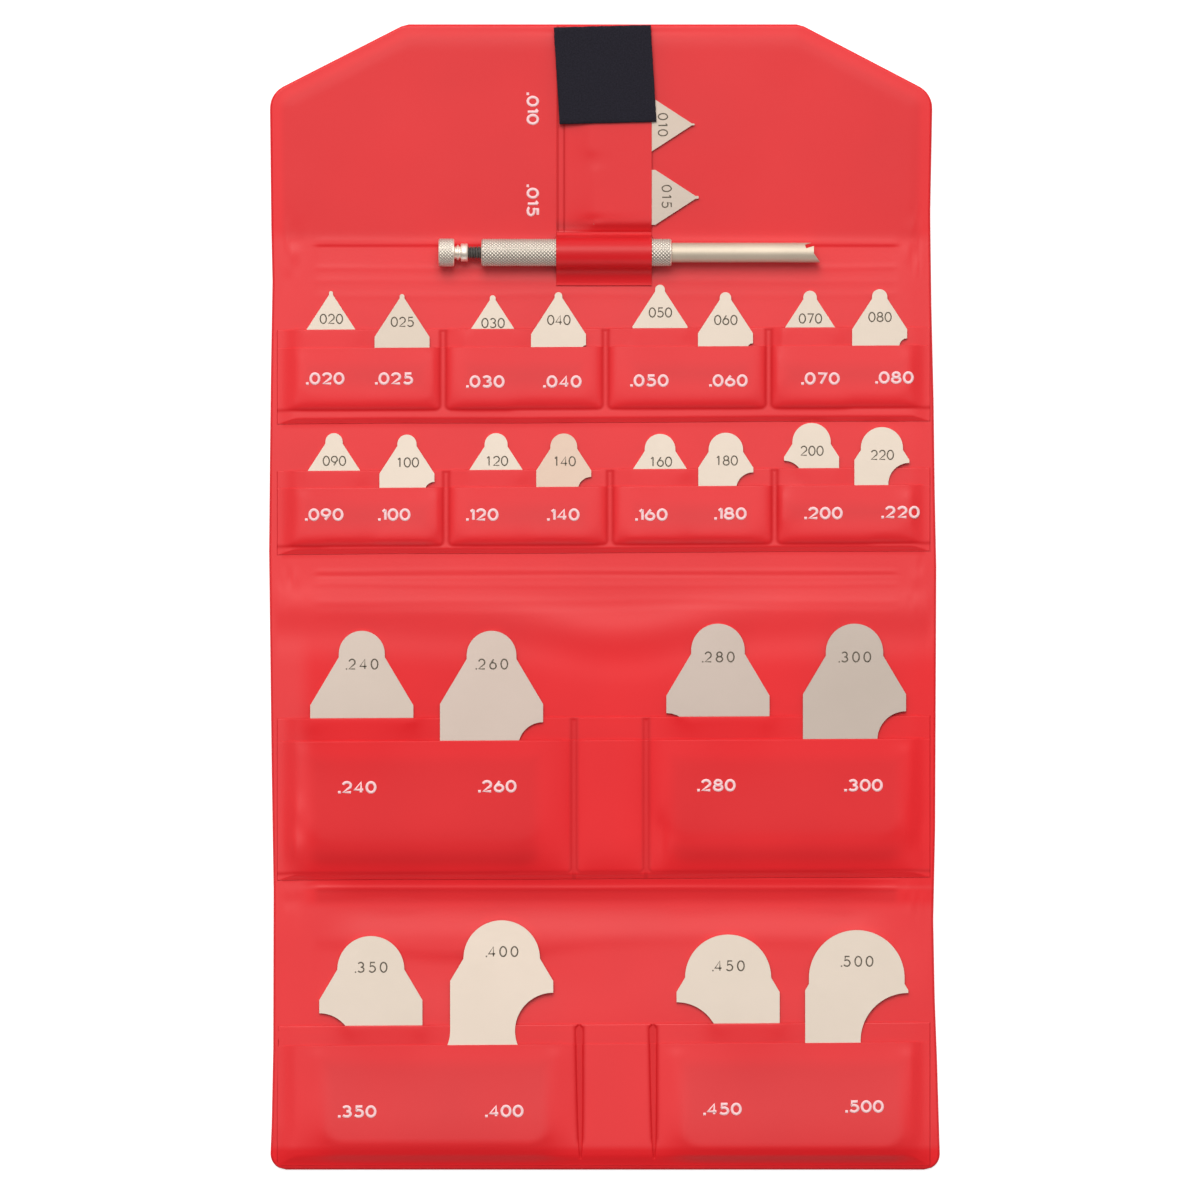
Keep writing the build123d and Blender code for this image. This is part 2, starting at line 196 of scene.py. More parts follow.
SHOULDER_Y = 134.0
LEFT_SIDE = [(SHOULDER_Y, -88.9), (98, -88.5), (84, -88.2), (60, -88.6), (34, -88.9), (12, -89.1),
             (-12, -88.8), (-46, -88.4), (-78, -87.9), (-120, -88.0), (-140, -88.4), (BOTTOM_Y, -88.9)]
RIGHT_SIDE = [(BOTTOM_Y, 89.5), (-140, 89.1), (-123, 88.6), (-107, 88.0), (-86, 87.6), (-62, 88.1),
              (-18, 88.3), (8, 88.4), (28, 88.0), (52, 87.7), (78, 87.1), (102, 86.8), (SHOULDER_Y, 87.4)]
SHOULDER_RADIUS = 6.5
TOP_RADIUS = 4.0
BOTTOM_RADIUS = 4.2
TOP_ENDS = (-52.9, 52.2)
corners = [(TOP_ENDS[0], TOP_Y), *((x, y) for y, x in LEFT_SIDE + RIGHT_SIDE), (TOP_ENDS[1], TOP_Y)]
radii = [0.0] * len(corners)
radii[0] = radii[-1] = TOP_RADIUS
radii[1] = radii[-2] = SHOULDER_RADIUS
radii[len(LEFT_SIDE)] = radii[len(LEFT_SIDE) + 1] = BOTTOM_RADIUS
OUTLINE = rounded(corners, radii)


def side_edges(y):
    """Where the wallet's left and right edges are at these levels."""
    edges = []
    for side in (-1, 1):
        edge = OUTLINE[OUTLINE[:, 0] * side > 0]
        edge = edge[np.argsort(edge[:, 1])]
        edges.append(np.interp(y, edge[:, 1], edge[:, 0]))
    return edges


def edge_distance(x, y):
    """Distance to the wallet's outline."""
    best = np.full(np.shape(x), 1e9)
    ends = np.roll(OUTLINE, -1, axis=0)
    for (ax, ay), (bx, by) in zip(OUTLINE, ends):
        dx, dy = bx - ax, by - ay
        length = dx * dx + dy * dy
        if length < 1e-12:
            continue
        t = np.clip(((x - ax) * dx + (y - ay) * dy) / length, 0, 1)
        best = np.minimum(best, (x - ax - t * dx) ** 2 + (y - ay - t * dy) ** 2)
    return np.sqrt(best)


# Relief of the liner: folds, wrinkles and the rim

FOLD_MIDDLE = 0.6
FOLD_HALF = 78.5
FLAP_FOLD = 93.9
MIDDLE_FOLD = -6.5
LOWER_FOLD = -71.5
LOWER_HOLLOW = -91.2
# Long creases: level, half width, height, seed, how far they wander
CREASES = [(94.6, 0.9, 0.05, 7, 0.4), (87.6, 0.8, 0.04, 9, 0.4), (84.0, 0.9, 0.03, 11, 0.4),
           (80.4, 1.0, 0.03, 13, 0.4), (7.0, 0.7, 0.05, 15, 0.4), (5.8, 0.6, -0.05, 17, 0.4),
           (3.2, 0.7, 0.04, 19, 0.4), (-0.6, 0.9, 0.035, 21, 1.0), (-3.4, 1.0, 0.03, 23, 1.2),
           (-77.3, 0.5, 0.10, 29, 0.15), (-75.1, 0.5, 0.06, 31, 0.15)]
# Crumples at both ends of a fold: distance from the middle, level, half sizes, height, cell, seed
CRUMPLES = [(82.5, 93.0, (3.0, 7.5), 0.14, 1.5, 41), (83.0, 3.5, (3.0, 6.0), 0.14, 1.6, 51),
            (82.5, -80.0, (2.6, 4.0), 0.16, 1.5, 61)]


def fold_fade(x, reach=2.5):
    return smooth((FOLD_HALF - np.abs(x - FOLD_MIDDLE)) / reach)


def wrinkles(x, y, place, size, height, cell, seed):
    """Small upright crumples round one place."""
    near = bump(x - place[0], size[0]) * bump(y - place[1], size[1])
    return near * height * soft_noise(x, y * 0.4, cell, seed)


def crease(x, y, place, width, height, seed, wander):
    """One long crease across the wallet, which wanders and fades a little on its way."""
    drift = wander * drifting(x, 31.0, seed)
    strength = 0.75 + 0.25 * drifting(x, 23.0, seed + 1)
    return fold_fade(x) * strength * height * bump(y - place - drift, width)


def fold_relief(x, y):
    """Hollows and ridges of the three folds, with their creases and crumples."""
    z = -0.16 * fold_fade(x) * ease(y, FLAP_FOLD, -0.9) * ease(y, 66.0, 26.0)
    sag = MIDDLE_FOLD - 6.5 * bump(x - 6.0, 26.0) + 1.6 * drifting(x, 30.0, 25)
    wave = 0.8 + 0.2 * drifting(x, 26.0, 27)
    z += wave * (0.34 * bump(y - sag - 4.5, 4.5) - 0.32 * bump(y - sag + 3.5, 4.5))
    slope = 0.5 * ease(y, -91.5, 8.5) + 0.35 * ease(y, -112.0, 26.0)
    z -= fold_fade(x, 14.0) * ease(y, LOWER_FOLD, -9.5) * slope
    sag = LOWER_HOLLOW - 4.6 * bump(x + 38.0, 32.0) - 1.5 * bump(x - 60.0, 25.0)
    depth = 0.30 * bump(x + 40.0, 38.0) + 0.10 * bump(x - 50.0, 34.0)
    z -= fold_fade(x) * depth * smooth((sag + 1.8 - y) / 3.6) * ease(y, -116.0, 16.0)
    z += 0.2 * bump(y + 100, 14) * soft_noise(x, y, 30.0, 35)
    for place, width, height, seed, wander in CREASES:
        z += crease(x, y, place, width, height, seed, wander)
    for side in (-1, 1):
        for across, level, size, height, cell, seed in CRUMPLES:
            z += wrinkles(x, y, (side * across, level), size, height, cell, seed + side)
    return z


def liner_top(x, y):
    distance = edge_distance(x, y)
    drop = RIM_DROP + (FOOT_RIM_DROP - RIM_DROP) * ease(y, -140.0, -8.0)
    z = LINER_TOP - drop * (1 - smooth(distance / RIM_REACH))
    z = z + 0.05 * soft_noise(x, y, 34.0, 1) + 0.03 * soft_noise(x, y, 13.0, 2)
    z += fold_relief(x, y) * smooth(distance / 3.0)
    z -= 0.05 * bump(distance - RIM_WELD, 0.4) * bump(x, 24.0) * (y > 140)
    z -= 0.25 * (1 - smooth(distance / 0.45))
    return np.maximum(z, FLOOR_GAP + COVER + 0.1)


# Films: a grid over the whole wallet, on which each film is drawn tight over the blades

CELL = 0.4
GRID_X = np.arange(-90.0, 90.0 + CELL / 2, CELL)
GRID_Y = np.arange(BOTTOM_Y - 0.8, TOP_Y + 0.8, CELL)
GX, GY = np.meshgrid(GRID_X, GRID_Y)
ROUNDS = 520


def sampled(field, x, y):
    """Reads a field of the grid at any places."""
    fx = np.clip((x - GRID_X[0]) / CELL, 0, len(GRID_X) - 1.001)
    fy = np.clip((y - GRID_Y[0]) / CELL, 0, len(GRID_Y) - 1.001)
    ix, iy = fx.astype(int), fy.astype(int)
    return interpolated(field, ix, iy, fx - ix, fy - iy)


def points_of(mesh):
    points = np.empty(len(mesh.vertices) * 3)
    mesh.vertices.foreach_get("co", points)
    return points.reshape(-1, 3) / MM


def store(piece, name, values):
    """Keeps a value for each point of a piece as an attribute."""
    piece.data.attributes.new(name, "FLOAT", "POINT").data.foreach_set("value", values)


def plan_of(node):
    """Which cells of the grid lie under a flat node's top face."""
    mesh = frame["nodes"][node].data
    mesh.calc_loop_triangles()
    points = points_of(mesh)
    top = points[:, 2].max() - 0.01
    inside = np.zeros(GX.shape, bool)
    for triangle in mesh.loop_triangles:
        ends = points[list(triangle.vertices)]
        if ends[:, 2].min() < top:
            continue
        lowest, highest = ends.min(0) - CELL, ends.max(0) + CELL
        columns = slice(*np.searchsorted(GRID_X, [lowest[0], highest[0]]))
        rows = slice(*np.searchsorted(GRID_Y, [lowest[1], highest[1]]))
        x, y = GX[rows, columns], GY[rows, columns]
        signs = np.array([(bx - ax) * (y - ay) - (by - ay) * (x - ax)
                          for (ax, ay), (bx, by) in zip(ends[:, :2], np.roll(ends, -1, 0)[:, :2])])
        inside[rows, columns] |= (signs >= 0).all(0) | (signs <= 0).all(0)
    return inside


def stretched_over(region, held, level_held, under, lift):
    """Height of a film that is held down at its welds and stretched over what is under it.

    lift is how much a cell rises above its neighbours' mean, where the film stands off by itself."""
    weight = np.pad(region, 1).astype(float)

    def neighbours(padded):
        return padded[:-2, 1:-1] + padded[2:, 1:-1] + padded[1:-1, :-2] + padded[1:-1, 2:]

    def mean(z):
        return neighbours(np.pad(z, 1, mode="edge") * weight) / count

    count = np.maximum(neighbours(weight), 1)
    z = np.where(held, level_held, under)
    for turn in range(ROUNDS):
        z = np.where(held, level_held, np.maximum(mean(z) + lift, under))
    for turn in range(3):
        z = np.where(region, 0.5 * z + 0.5 * mean(z), z)
    return z


def line_y(row, which, x):
    """Level of a row's mouth, weld or hem, with the row's tilt."""
    return row[which] + row["tilt"] * x


def hem_y(row, x):
    if row["name"] == "row_4":
        return row["hem"] + 0 * x
    return line_y(row, "hem", x) + 0.12 * drifting(x, 17.0, 61)


ROW_4_BAR_END = -149.4
CELL_CORNER = 1.3


def bar_distance(row, x, y):
    """Distance to the nearest weld bar between cells, less than nothing inside it."""
    best = np.full(np.shape(x), 1e9)
    for place in row["separators"]:
        top = line_y(row, "back_mouth", place)
        if row["name"] == "row_4":
            top -= 1.0
            t = np.clip((top - y) / (top - ROW_4_BAR_END), 0, 1)
            half = row["bar"] * (1 - t) ** 0.28 + 0.1
            dx, beyond = np.abs(x - place - 0.35 * t) - half, np.maximum(y - top, ROW_4_BAR_END - y)
            inward = np.minimum(dx, 0)
        else:
            dx, beyond = np.abs(x - place) - row["bar"], y - top + 0.5
            inward = np.minimum(np.maximum(dx, beyond), 0)
        best = np.minimum(best, np.hypot(np.maximum(dx, 0), np.maximum(beyond, 0)) + inward)
    return best


def corner_distance(a, b, radius):
    """Distance inward from two edges that are a and b away and meet in a rounded corner."""
    rounding = np.hypot(np.maximum(radius - a, 0), np.maximum(radius - b, 0))
    return radius - rounding + np.maximum(np.minimum(a, b) - radius, 0)


def weld_distance(row, x, y):
    """Distance to the line that runs round the cells: under them and up beside the bars."""
    bars = bar_distance(row, x, y)
    if row["name"] == "row_4":
        return bars
    return corner_distance(bars, y - line_y(row, "weld", x), CELL_CORNER)


def inside_row(row, which):
    return (GY < line_y(row, which, GX) + CELL) & (GY > hem_y(row, GX) - CELL)


def pillow(row):
    """Distance inward from the rim of the puffed plate that each cell's blades make, 0 outside."""
    depth = np.zeros(GX.shape)
    stops = [SIDE_WELDS[0], *row["separators"], SIDE_WELDS[1]]
    top = row["front_mouth"] - 2.5
    for left, right in zip(stops[:-1], stops[1:]):
        held = [name for name in GAUGES
                if left < low(name)[0] and high(name)[0] < right and in_row(name, row)]
        if not held:
            continue
        x0, x1 = min(low(name)[0] for name in held) - 0.8, max(high(name)[0] for name in held) + 0.8
        y0 = sum(low(name)[1] for name in held) / len(held) + row["foot"]
        inward = corner_distance(np.minimum(GX - x0, x1 - GX), GY - y0, row["corner"])
        depth = np.maximum(depth, np.minimum(inward, top - GY))
    return depth


BASE = liner_top(GX, GY)
STRAP_WELD_Y = 97.0
STRAP_TOP_WELD = 150.2
STRAP_SEAM_X = -10.6
strap_x = (low("holder_strap")[0], high("holder_strap")[0])
strap_top_y = high("holder_strap")[1]
in_strap = (GX > strap_x[0]) & (GX < strap_x[1] + CELL) & (GY > STRAP_WELD_Y - 1) & (GY < strap_top_y)

back_region = in_strap.copy()
back_held = in_strap & ((GX < STRAP_SEAM_X) | (GY < STRAP_WELD_Y) | (GY > STRAP_TOP_WELD - 1))
front_region, front_held = np.zeros((2, *GX.shape), bool)
plates, lift, puffed, raised_mouth = np.zeros((4, *GX.shape))
for row in ROWS:
    back, front = inside_row(row, "back_mouth"), inside_row(row, "front_mouth")
    back_region |= back
    front_region |= front
    line = weld_distance(row, GX, GY)
    held = (line < 0.15) | (GX < SIDE_WELDS[0]) | (GX > SIDE_WELDS[1])
    if row["name"] == "row_4":
        rim = edge_distance(GX, GY)
        held |= rim < ROW_4_RIM
        line = np.minimum(line, rim)
    back_held |= back & held
    front_held |= front & held
    depth = front * pillow(row)
    puffed = np.maximum(puffed, smooth(depth / 5.0))
    swelling = row["puff"] * smooth(depth / PUFF_EDGE) * smooth((row["front_mouth"] - 2.0 - GY) / PUFF_RISE)
    plates = np.maximum(plates, (depth > 0) * (BLADE_TOP - 0.04 + swelling))
    lift += front * row["load"] * CELL * CELL / 4 * bump(line, row["reach"])
    between = (GY - line_y(row, "front_mouth", GX)) / (row["back_mouth"] - row["front_mouth"])
    raised_mouth += back * row["mouth"] * smooth(between + 0.1) * (between < 1.2)

back_under = BASE.copy()
front_blades = np.zeros(GX.shape)
for name in GAUGES:
    plan = plan_of(name)
    if low(name)[2] < LINER_TOP + 0.1:
        back_under = np.where(plan, np.maximum(BASE, high(name)[2]) + raised_mouth, back_under)
    else:
        front_blades = np.where(plan, high(name)[2], front_blades)
BACK_TOP = stretched_over(back_region, back_held, BASE, back_under, 0) + FILM
front_under = np.maximum(np.maximum(BACK_TOP, front_blades), plates)
FRONT_TOP = stretched_over(front_region, front_held, BACK_TOP, front_under, lift) + FILM


# Meshes

def linked(name, data):
    made = bpy.data.objects.new(name, data)
    bpy.context.scene.collection.objects.link(made)
    return made


def mesh_piece(name, points, faces, material, slot, replaced=None, body="case"):
    mesh = bpy.data.meshes.new(name)
    mesh.from_pydata((np.asarray(points) * MM).tolist(), [], faces)
    mesh.polygons.foreach_set("use_smooth", [True] * len(mesh.polygons))
    mesh.update()
    mesh.materials.append(material)
    piece = linked(name, mesh)
    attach(piece, body)
    if replaced:
        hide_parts(replaced)
    return piece


def grid_faces(rows, columns, start=0, flip=False, ring=False):
    """Quads of a grid of rows x columns points; ring joins the last column to the first."""
    index = np.arange(rows * columns).reshape(rows, columns) + start
    if ring:
        index = np.hstack([index, index[:, :1]])
    a, b, c, d = index[:-1, :-1], index[:-1, 1:], index[1:, 1:], index[1:, :-1]
    quads = np.stack([a, b, c, d], -1).reshape(-1, 4)
    return (quads[:, ::-1] if flip else quads).tolist()


def border(rows, columns):
    """Indices round a grid's edge, anticlockwise when rows run up and columns run right."""
    index = np.arange(rows * columns).reshape(rows, columns)
    return np.concatenate([index[0, :-1], index[:-1, -1], index[-1, :0:-1], index[:0:-1, 0]])


def closed_sheet(upper, lower, flip=False):
    """Points and faces of a sheet with a lower face and a wall between; flip turns it inside out."""
    rows, columns = upper.shape[:2]
    count = rows * columns
    faces = grid_faces(rows, columns, flip=flip) + grid_faces(rows, columns, count, flip=not flip)
    edge = border(rows, columns)
    following = np.roll(edge, -1)
    wall = np.stack([following, edge, edge + count, following + count], -1)
    faces += (wall[:, ::-1] if flip else wall).tolist()
    return np.concatenate([upper.reshape(-1, 3), lower.reshape(-1, 3)]), faces


def skirted(x, y, top, drops):
    """Points and faces of a sheet's upper face with a short wall down from its edge.

    drops are (inward, down) for each ring of the wall."""
    rows, columns = x.shape
    points = np.stack([x, y, top], -1).reshape(-1, 3)
    faces = grid_faces(rows, columns)
    edge = previous = border(rows, columns)
    for inward, drop in drops:
        ring = points[edge]
        along = np.roll(ring, -1, 0)[:, :2] - np.roll(ring, 1, 0)[:, :2]
        length = np.maximum(np.linalg.norm(along, axis=1, keepdims=True), 1e-9)
        ring[:, :2] += np.stack([-along[:, 1], along[:, 0]], -1) / length * inward
        ring[:, 2] -= drop
        new = len(points) + np.arange(len(edge))
        points = np.vstack([points, ring])
        faces += np.stack([np.roll(previous, -1), previous, new, np.roll(new, -1)], -1).tolist()
        previous = new
    return points, faces


# Materials

def material(name):
    made = bpy.data.materials.new(name)
    made.use_nodes = True
    tree = made.node_tree
    return made, tree, tree.nodes["Principled BSDF"]


def feed(tree, socket, value):
    """Links an output to this input, or sets the input to a plain value."""
    if isinstance(value, bpy.types.NodeSocket):
        tree.links.new(value, socket)
    else:
        socket.default_value = value


def filled(tree, made, **values):
    """Sets a node's own settings, and feeds its inputs, by name."""
    for key, value in values.items():
        if hasattr(made, key):
            setattr(made, key, value)
        else:
            feed(tree, made.inputs[key.replace("_", " ")], value)
    return made


def node(tree, kind, **values):
    return filled(tree, tree.nodes.new(kind), **values)


def placed(tree, stretch=(1, 1, 1)):
    """Object coordinates in millimetres, stretched along an axis if asked."""
    where = node(tree, "ShaderNodeTexCoord").outputs["Object"]
    return node(tree, "ShaderNodeMapping", Vector=where, Scale=[s / MM for s in stretch]).outputs["Vector"]


def noise(tree, vector, scale, detail=2.0, roughness=0.5):
    made = node(tree, "ShaderNodeTexNoise", Vector=vector, Scale=scale, Detail=detail, Roughness=roughness)
    return made.outputs["Fac"]


def stored(tree, name):
    """An attribute of the mesh's points."""
    return node(tree, "ShaderNodeAttribute", attribute_name=name).outputs["Fac"]


def ramp(tree, value, *stops):
    made = node(tree, "ShaderNodeValToRGB", Fac=value)
    for element, (place, colour) in zip(made.color_ramp.elements, stops):
        element.position = place
        element.color = (*colour, 1)
    return made.outputs["Color"]


def remap(tree, value, lowest, highest):
    return node(tree, "ShaderNodeMapRange", Value=value, To_Min=lowest, To_Max=highest).outputs["Result"]


def maths(tree, operation, *values):
    made = node(tree, "ShaderNodeMath", operation=operation)
    for socket, value in zip(made.inputs, values):
        feed(tree, socket, value)
    return made.outputs[0]


def bumped(tree, shader, *heights):
    """Chains bumps of (height, distance in mm, strength) into the shader's normal."""
    last = {}
    for height, distance, strength in heights:
        made = node(tree, "ShaderNodeBump", Height=height, Distance=distance * MM, Strength=strength, **last)
        last = {"Normal": made.outputs["Normal"]}
    filled(tree, shader, **last)


def multiplied(tree, colour, factor):
    made = node(tree, "ShaderNodeMix", data_type="RGBA", blend_type="MULTIPLY", Factor=1.0)
    tree.links.new(colour, made.inputs[6])
    tree.links.new(factor, made.inputs[7])
    return made.outputs[2]


def shaded(tree, colour, attribute):
    """Darkens a colour by an attribute: 0 leaves it, 1 makes it black."""
    return multiplied(tree, colour, ramp(tree, stored(tree, attribute), (0.0, (1, 1, 1)), (1.0, (0, 0, 0))))


def vinyl_material(name, dark, light):
    """Soft red sheet, darker and more matt where its attributes say so."""
    made, tree, shader = material(name)
    where = placed(tree)
    colour = ramp(tree, noise(tree, where, 0.03), (0.3, dark), (0.7, light))
    fine, pebble = noise(tree, where, 3.2, 3.0, 0.6), noise(tree, where, 0.9)
    filled(tree, shader, Base_Color=shaded(tree, colour, "dark"), Roughness=remap(tree, fine, 0.36, 0.46),
           Specular_IOR_Level=remap(tree, stored(tree, "matt"), 0.5, 0.05))
    bumped(tree, shader, (fine, 0.012, 0.5), (pebble, 0.02, 0.35))
    return made


def steel_material(name, dark, light, roughness, stretch, depth, metal=1.0, tinted=False, grooves=False):
    """Steel with streaks along one axis; tinted by its object's colour, or with painted shade in its cut
    grooves.
    """
    made, tree, shader = material(name)
    streaks = noise(tree, placed(tree, stretch), 1.0, 3.0, 0.65)
    colour = ramp(tree, noise(tree, placed(tree), 0.05), (0.3, dark), (0.7, light))
    if tinted:
        colour = multiplied(tree, colour, node(tree, "ShaderNodeObjectInfo").outputs["Color"])
    if grooves:
        colour = shaded(tree, colour, "groove_shade")
    filled(tree, shader, Base_Color=colour, Metallic=metal,
           Roughness=remap(tree, streaks, roughness - 0.06, roughness + 0.06))
    bumped(tree, shader, (streaks, depth, 0.4))
    return made


def flat_finish(name, dark, light, scale, roughness, depth, grooves=False):
    """A plain coat whose tone varies a little, and which can have painted shade in its cut grooves."""
    made, tree, shader = material(name)
    patchy = noise(tree, placed(tree), scale, 3.0, 0.6)
    colour = ramp(tree, patchy, (0.3, dark), (0.7, light))
    if grooves:
        colour = shaded(tree, colour, "groove_shade")
    filled(tree, shader, Base_Color=colour, Roughness=roughness)
    bumped(tree, shader, (patchy, depth, 0.3))
    return made


def pile_material(name, dark, light):
    """Brushed loops of a hook-and-loop patch."""
    made, tree, shader = material(name)
    where = placed(tree)
    weave = node(tree, "ShaderNodeTexWave", Vector=where, Scale=0.55, Distortion=3.0, Detail=2.0)
    fuzz = noise(tree, where, 2.6, 4.0, 0.7)
    filled(tree, shader, Base_Color=ramp(tree, fuzz, (0.3, dark), (0.75, light)), Roughness=0.9,
           Sheen_Weight=0.05, Specular_IOR_Level=0.2)
    bumped(tree, shader, (weave.outputs["Fac"], 0.05, 0.4), (fuzz, 0.12, 0.7))
    return made


VINYL = vinyl_material("red_vinyl", (0.71, 0.014, 0.019), (0.75, 0.016, 0.021))
BLADE_STEEL = steel_material("ground_steel", (0.86, 0.74, 0.625), (0.89, 0.765, 0.65), roughness=0.36,
                             stretch=(0.25, 6, 6), depth=0.006, tinted=True)
TURNED_STEEL = steel_material("turned_steel", (0.60, 0.52, 0.42), (0.66, 0.57, 0.46), roughness=0.64,
                              stretch=(6, 0.4, 0.4), depth=0.004, metal=0.75)
KNURL_STEEL = steel_material("knurled_steel", (0.84, 0.75, 0.65), (0.89, 0.80, 0.70), roughness=0.40,
                             stretch=(3, 3, 3), depth=0.01, metal=0.75, grooves=True)
BLACK_STEEL = flat_finish("black_oxide", (0.05, 0.045, 0.042), (0.13, 0.12, 0.11), scale=1.2,
                          roughness=0.34, depth=0.02, grooves=True)
INK = flat_finish("pale_ink", (0.86, 0.53, 0.55), (0.93, 0.63, 0.65), scale=1.5, roughness=0.55, depth=0.01)
ETCH = flat_finish("etched_mark", (0.045, 0.036, 0.022), (0.17, 0.14, 0.10), scale=1.6, roughness=0.6,
                   depth=0.01)
PILE = pile_material("black_pile", (0.006, 0.0055, 0.010), (0.021, 0.019, 0.030))


# Wallet sheets: rows and columns are closer near (place, reach, step)

FOLD_SPOTS = [(93.3, 1.6, 0.22), (87.6, 1.2, 0.3), (84.0, 1.2, 0.35), (80.6, 1.0, 0.35), (6.0, 1.6, 0.25),
              (1.6, 1.0, 0.3), (-2.3, 1.2, 0.35), (-76.5, 2.4, 0.2), (-81.0, 2.2, 0.4)]
END_SPOTS = [(BOTTOM_Y, 5.0, 0.5), (TOP_Y, 4.0, 0.5), (131.0, 4.0, 0.7)]


def sheet_grid(inset, side_spots, step_across, step_up):
    """Points of the wallet's outline, moved in by inset, as rows from the bottom up.

    side_spots and step_across are shares of the width; each spot counts from both sides."""
    spots = [(end, reach, step) for place, reach, step in side_spots for end in (place, 1 - place)]
    across = graded(0.0, 1.0, step_across, spots)
    ys = graded(BOTTOM_Y + inset, TOP_Y - inset, step_up, END_SPOTS + FOLD_SPOTS)
    left, right = side_edges(ys)
    x = (left + inset)[:, None] + (right - left - 2 * inset)[:, None] * across
    return x, np.repeat(ys[:, None], len(across), 1)


x, y = sheet_grid(0.0, [(0.0, 0.022, 0.0022), (0.04, 0.02, 0.005)], 0.0125, 1.9)
upper = np.stack([x, y, liner_top(x, y) - FILM], -1)
lower = upper.copy()
lower[..., 2] = np.maximum(lower[..., 2] - COVER, FLOOR_GAP)
cover = mesh_piece("cover_sheet", *closed_sheet(upper, lower), VINYL, "red_vinyl", "wallet_cover")

x, y = sheet_grid(0.35, [(0.0, 0.03, 0.002), (0.05, 0.03, 0.004)], 0.0085, 1.25)
points, faces = skirted(x, y, liner_top(x, y), [(0.0, 0.12), (0.1, 0.5)])
liner = mesh_piece("liner_sheet", points, faces, VINYL, "red_vinyl", "wallet_liner")

wallet_width = high("wallet_cover")[0] - low("wallet_cover")[0]


# Pocket films

LINE_WIDTH = 0.5
SIDE_REACH = 1.6
SIDE_TAPER = 5.6
HEM_TAPER = 1.7
ROW_4_HEM_TAPER = 3.2
PUCKERS = (-81.0, 15.8, 82.0)
SCALLOPS = [(-82.4, -56.6), (-82.0, -66.0)]
SCALLOP_SIZE = (2.0, 3.6, 0.32)

# How much the sheets darken, 0 plain to 1 black, and the levels where some of that starts: painted shade at
# the welds, the fold hollow, the loop and the plates' feet, a painted shadow under the hems; the flap and
# the plates are simply darker
FLAP_DARK = 0.09
WELD_SHADE_DARK = 0.24
PLATE_DARK = 0.09
LOOP_SHADE_DARK = 0.19
FOOT_SHADE_DARK = 0.17
FOLD_SHADE_DARK = 0.10
HEM_SHADOW_DARK = 0.03
FLAP_FOOT = 94.0
ROW_3_FOOT = -69.8
ROW_4_FOOT = -145.5


def film_grid(row, which):
    spots = [(place, 2.0, 0.3) for place in SIDE_WELDS] + [(place, 2.4, 0.16) for place in row["separators"]]
    xs = graded(SIDE_WELDS[0] - SIDE_REACH, SIDE_WELDS[1] + SIDE_REACH, 1.1, spots)
    hem, mouth = row["hem"], row[which]
    ys = graded(hem, mouth, 0.9, [(row["weld"], 1.4, 0.18), (hem, 1.2, 0.18), (mouth, 0.8, 0.25)])
    x, y = np.meshgrid(xs, ys)
    t = (y - hem) / (mouth - hem)
    y = hem_y(row, x) * (1 - t) + line_y(row, which, x) * t
    if row["name"] == "row_4":
        left, right = side_edges(np.maximum(y, BOTTOM_Y))
        x = np.clip(x, left + ROW_4_RIM, right - ROW_4_RIM)
    return x, y


def film_relief(row, x, y):
    """The shallow line sunk round the cells, the bars, and the puckers beside row 3's plates."""
    z = -0.05 * bump(weld_distance(row, x, y), LINE_WIDTH)
    if row["name"] == "row_4":
        z -= 0.5 * smooth(-bar_distance(row, x, y) / 0.35)
    if row["name"] == "row_3":
        z -= 0.12 * smooth(-bar_distance(row, x, y) / 0.5)
        for k, place in enumerate(PUCKERS):
            z += wrinkles(x, y, (place, row["weld"] + 11.0), (3.0, 7.0), 0.55, 3.2, 71 + k)
        across, along, height = SCALLOP_SIZE
        for place_x, place_y in SCALLOPS:
            z += height * bump(x - place_x, across) * bump(y - place_y, along)
    return z


def tapered(row, x, y, top, over):
    """Lets a film die out into the liner at its hem and at the wallet's sides."""
    beyond = SIDE_TAPER - SIDE_REACH + np.maximum(SIDE_WELDS[0] - x, x - SIDE_WELDS[1])
    hem_taper = ROW_4_HEM_TAPER if row["name"] == "row_4" else HEM_TAPER
    share = np.maximum(smooth(beyond / SIDE_TAPER), smooth(1 - (y - hem_y(row, x)) / hem_taper))
    return top * (1 - share) + (liner_top(x, y) + over) * share


def marked(piece, dark, matt):
    """Stores how dark and how matt a sheet looks, two functions of x and y, at each of its points."""
    x, y = points_of(piece.data)[:, :2].T
    store(piece, "dark", dark(x, y))
    store(piece, "matt", matt(x, y))


def weld_shade(row, x, y):
    """Painted shade where a row's sheets are melted together, along the weld lines and across the sunk bars,
    0 to 1; it also takes the sheen off there.
    """
    line = 0.8 * bump(weld_distance(row, x, y), LINE_WIDTH)
    if row["name"] == "row_4":
        line = line * ease(y, -146.0, 2.0)
    return np.maximum(line, row["shade"] * smooth(-bar_distance(row, x, y) / 0.4))


def hem_shadow(x, y):
    """The painted shadow of each hem's edge, a dark line along it."""
    near = [bump(y - hem_y(row, x), 0.55) for row in ROWS[:3]]
    return np.max(near, axis=0) * smooth(86.0 - np.abs(x))


def panel_matt(x, y):
    """The sheets are a little matter on the flap, round row 3, and along row 4's foot."""
    round_row_3 = ease(y, -6.0, -14.0) * ease(y, -83.5, 3.5) * ease(x, -82.5, 6.0)
    round_row_3 = round_row_3 * (1 - 0.8 * bump(y + 77.2, 0.5))
    return 0.35 * ease(y, FLAP_FOOT, 4.0) + 0.55 * round_row_3 + 0.8 * ease(y, ROW_4_FOOT, -2.0)


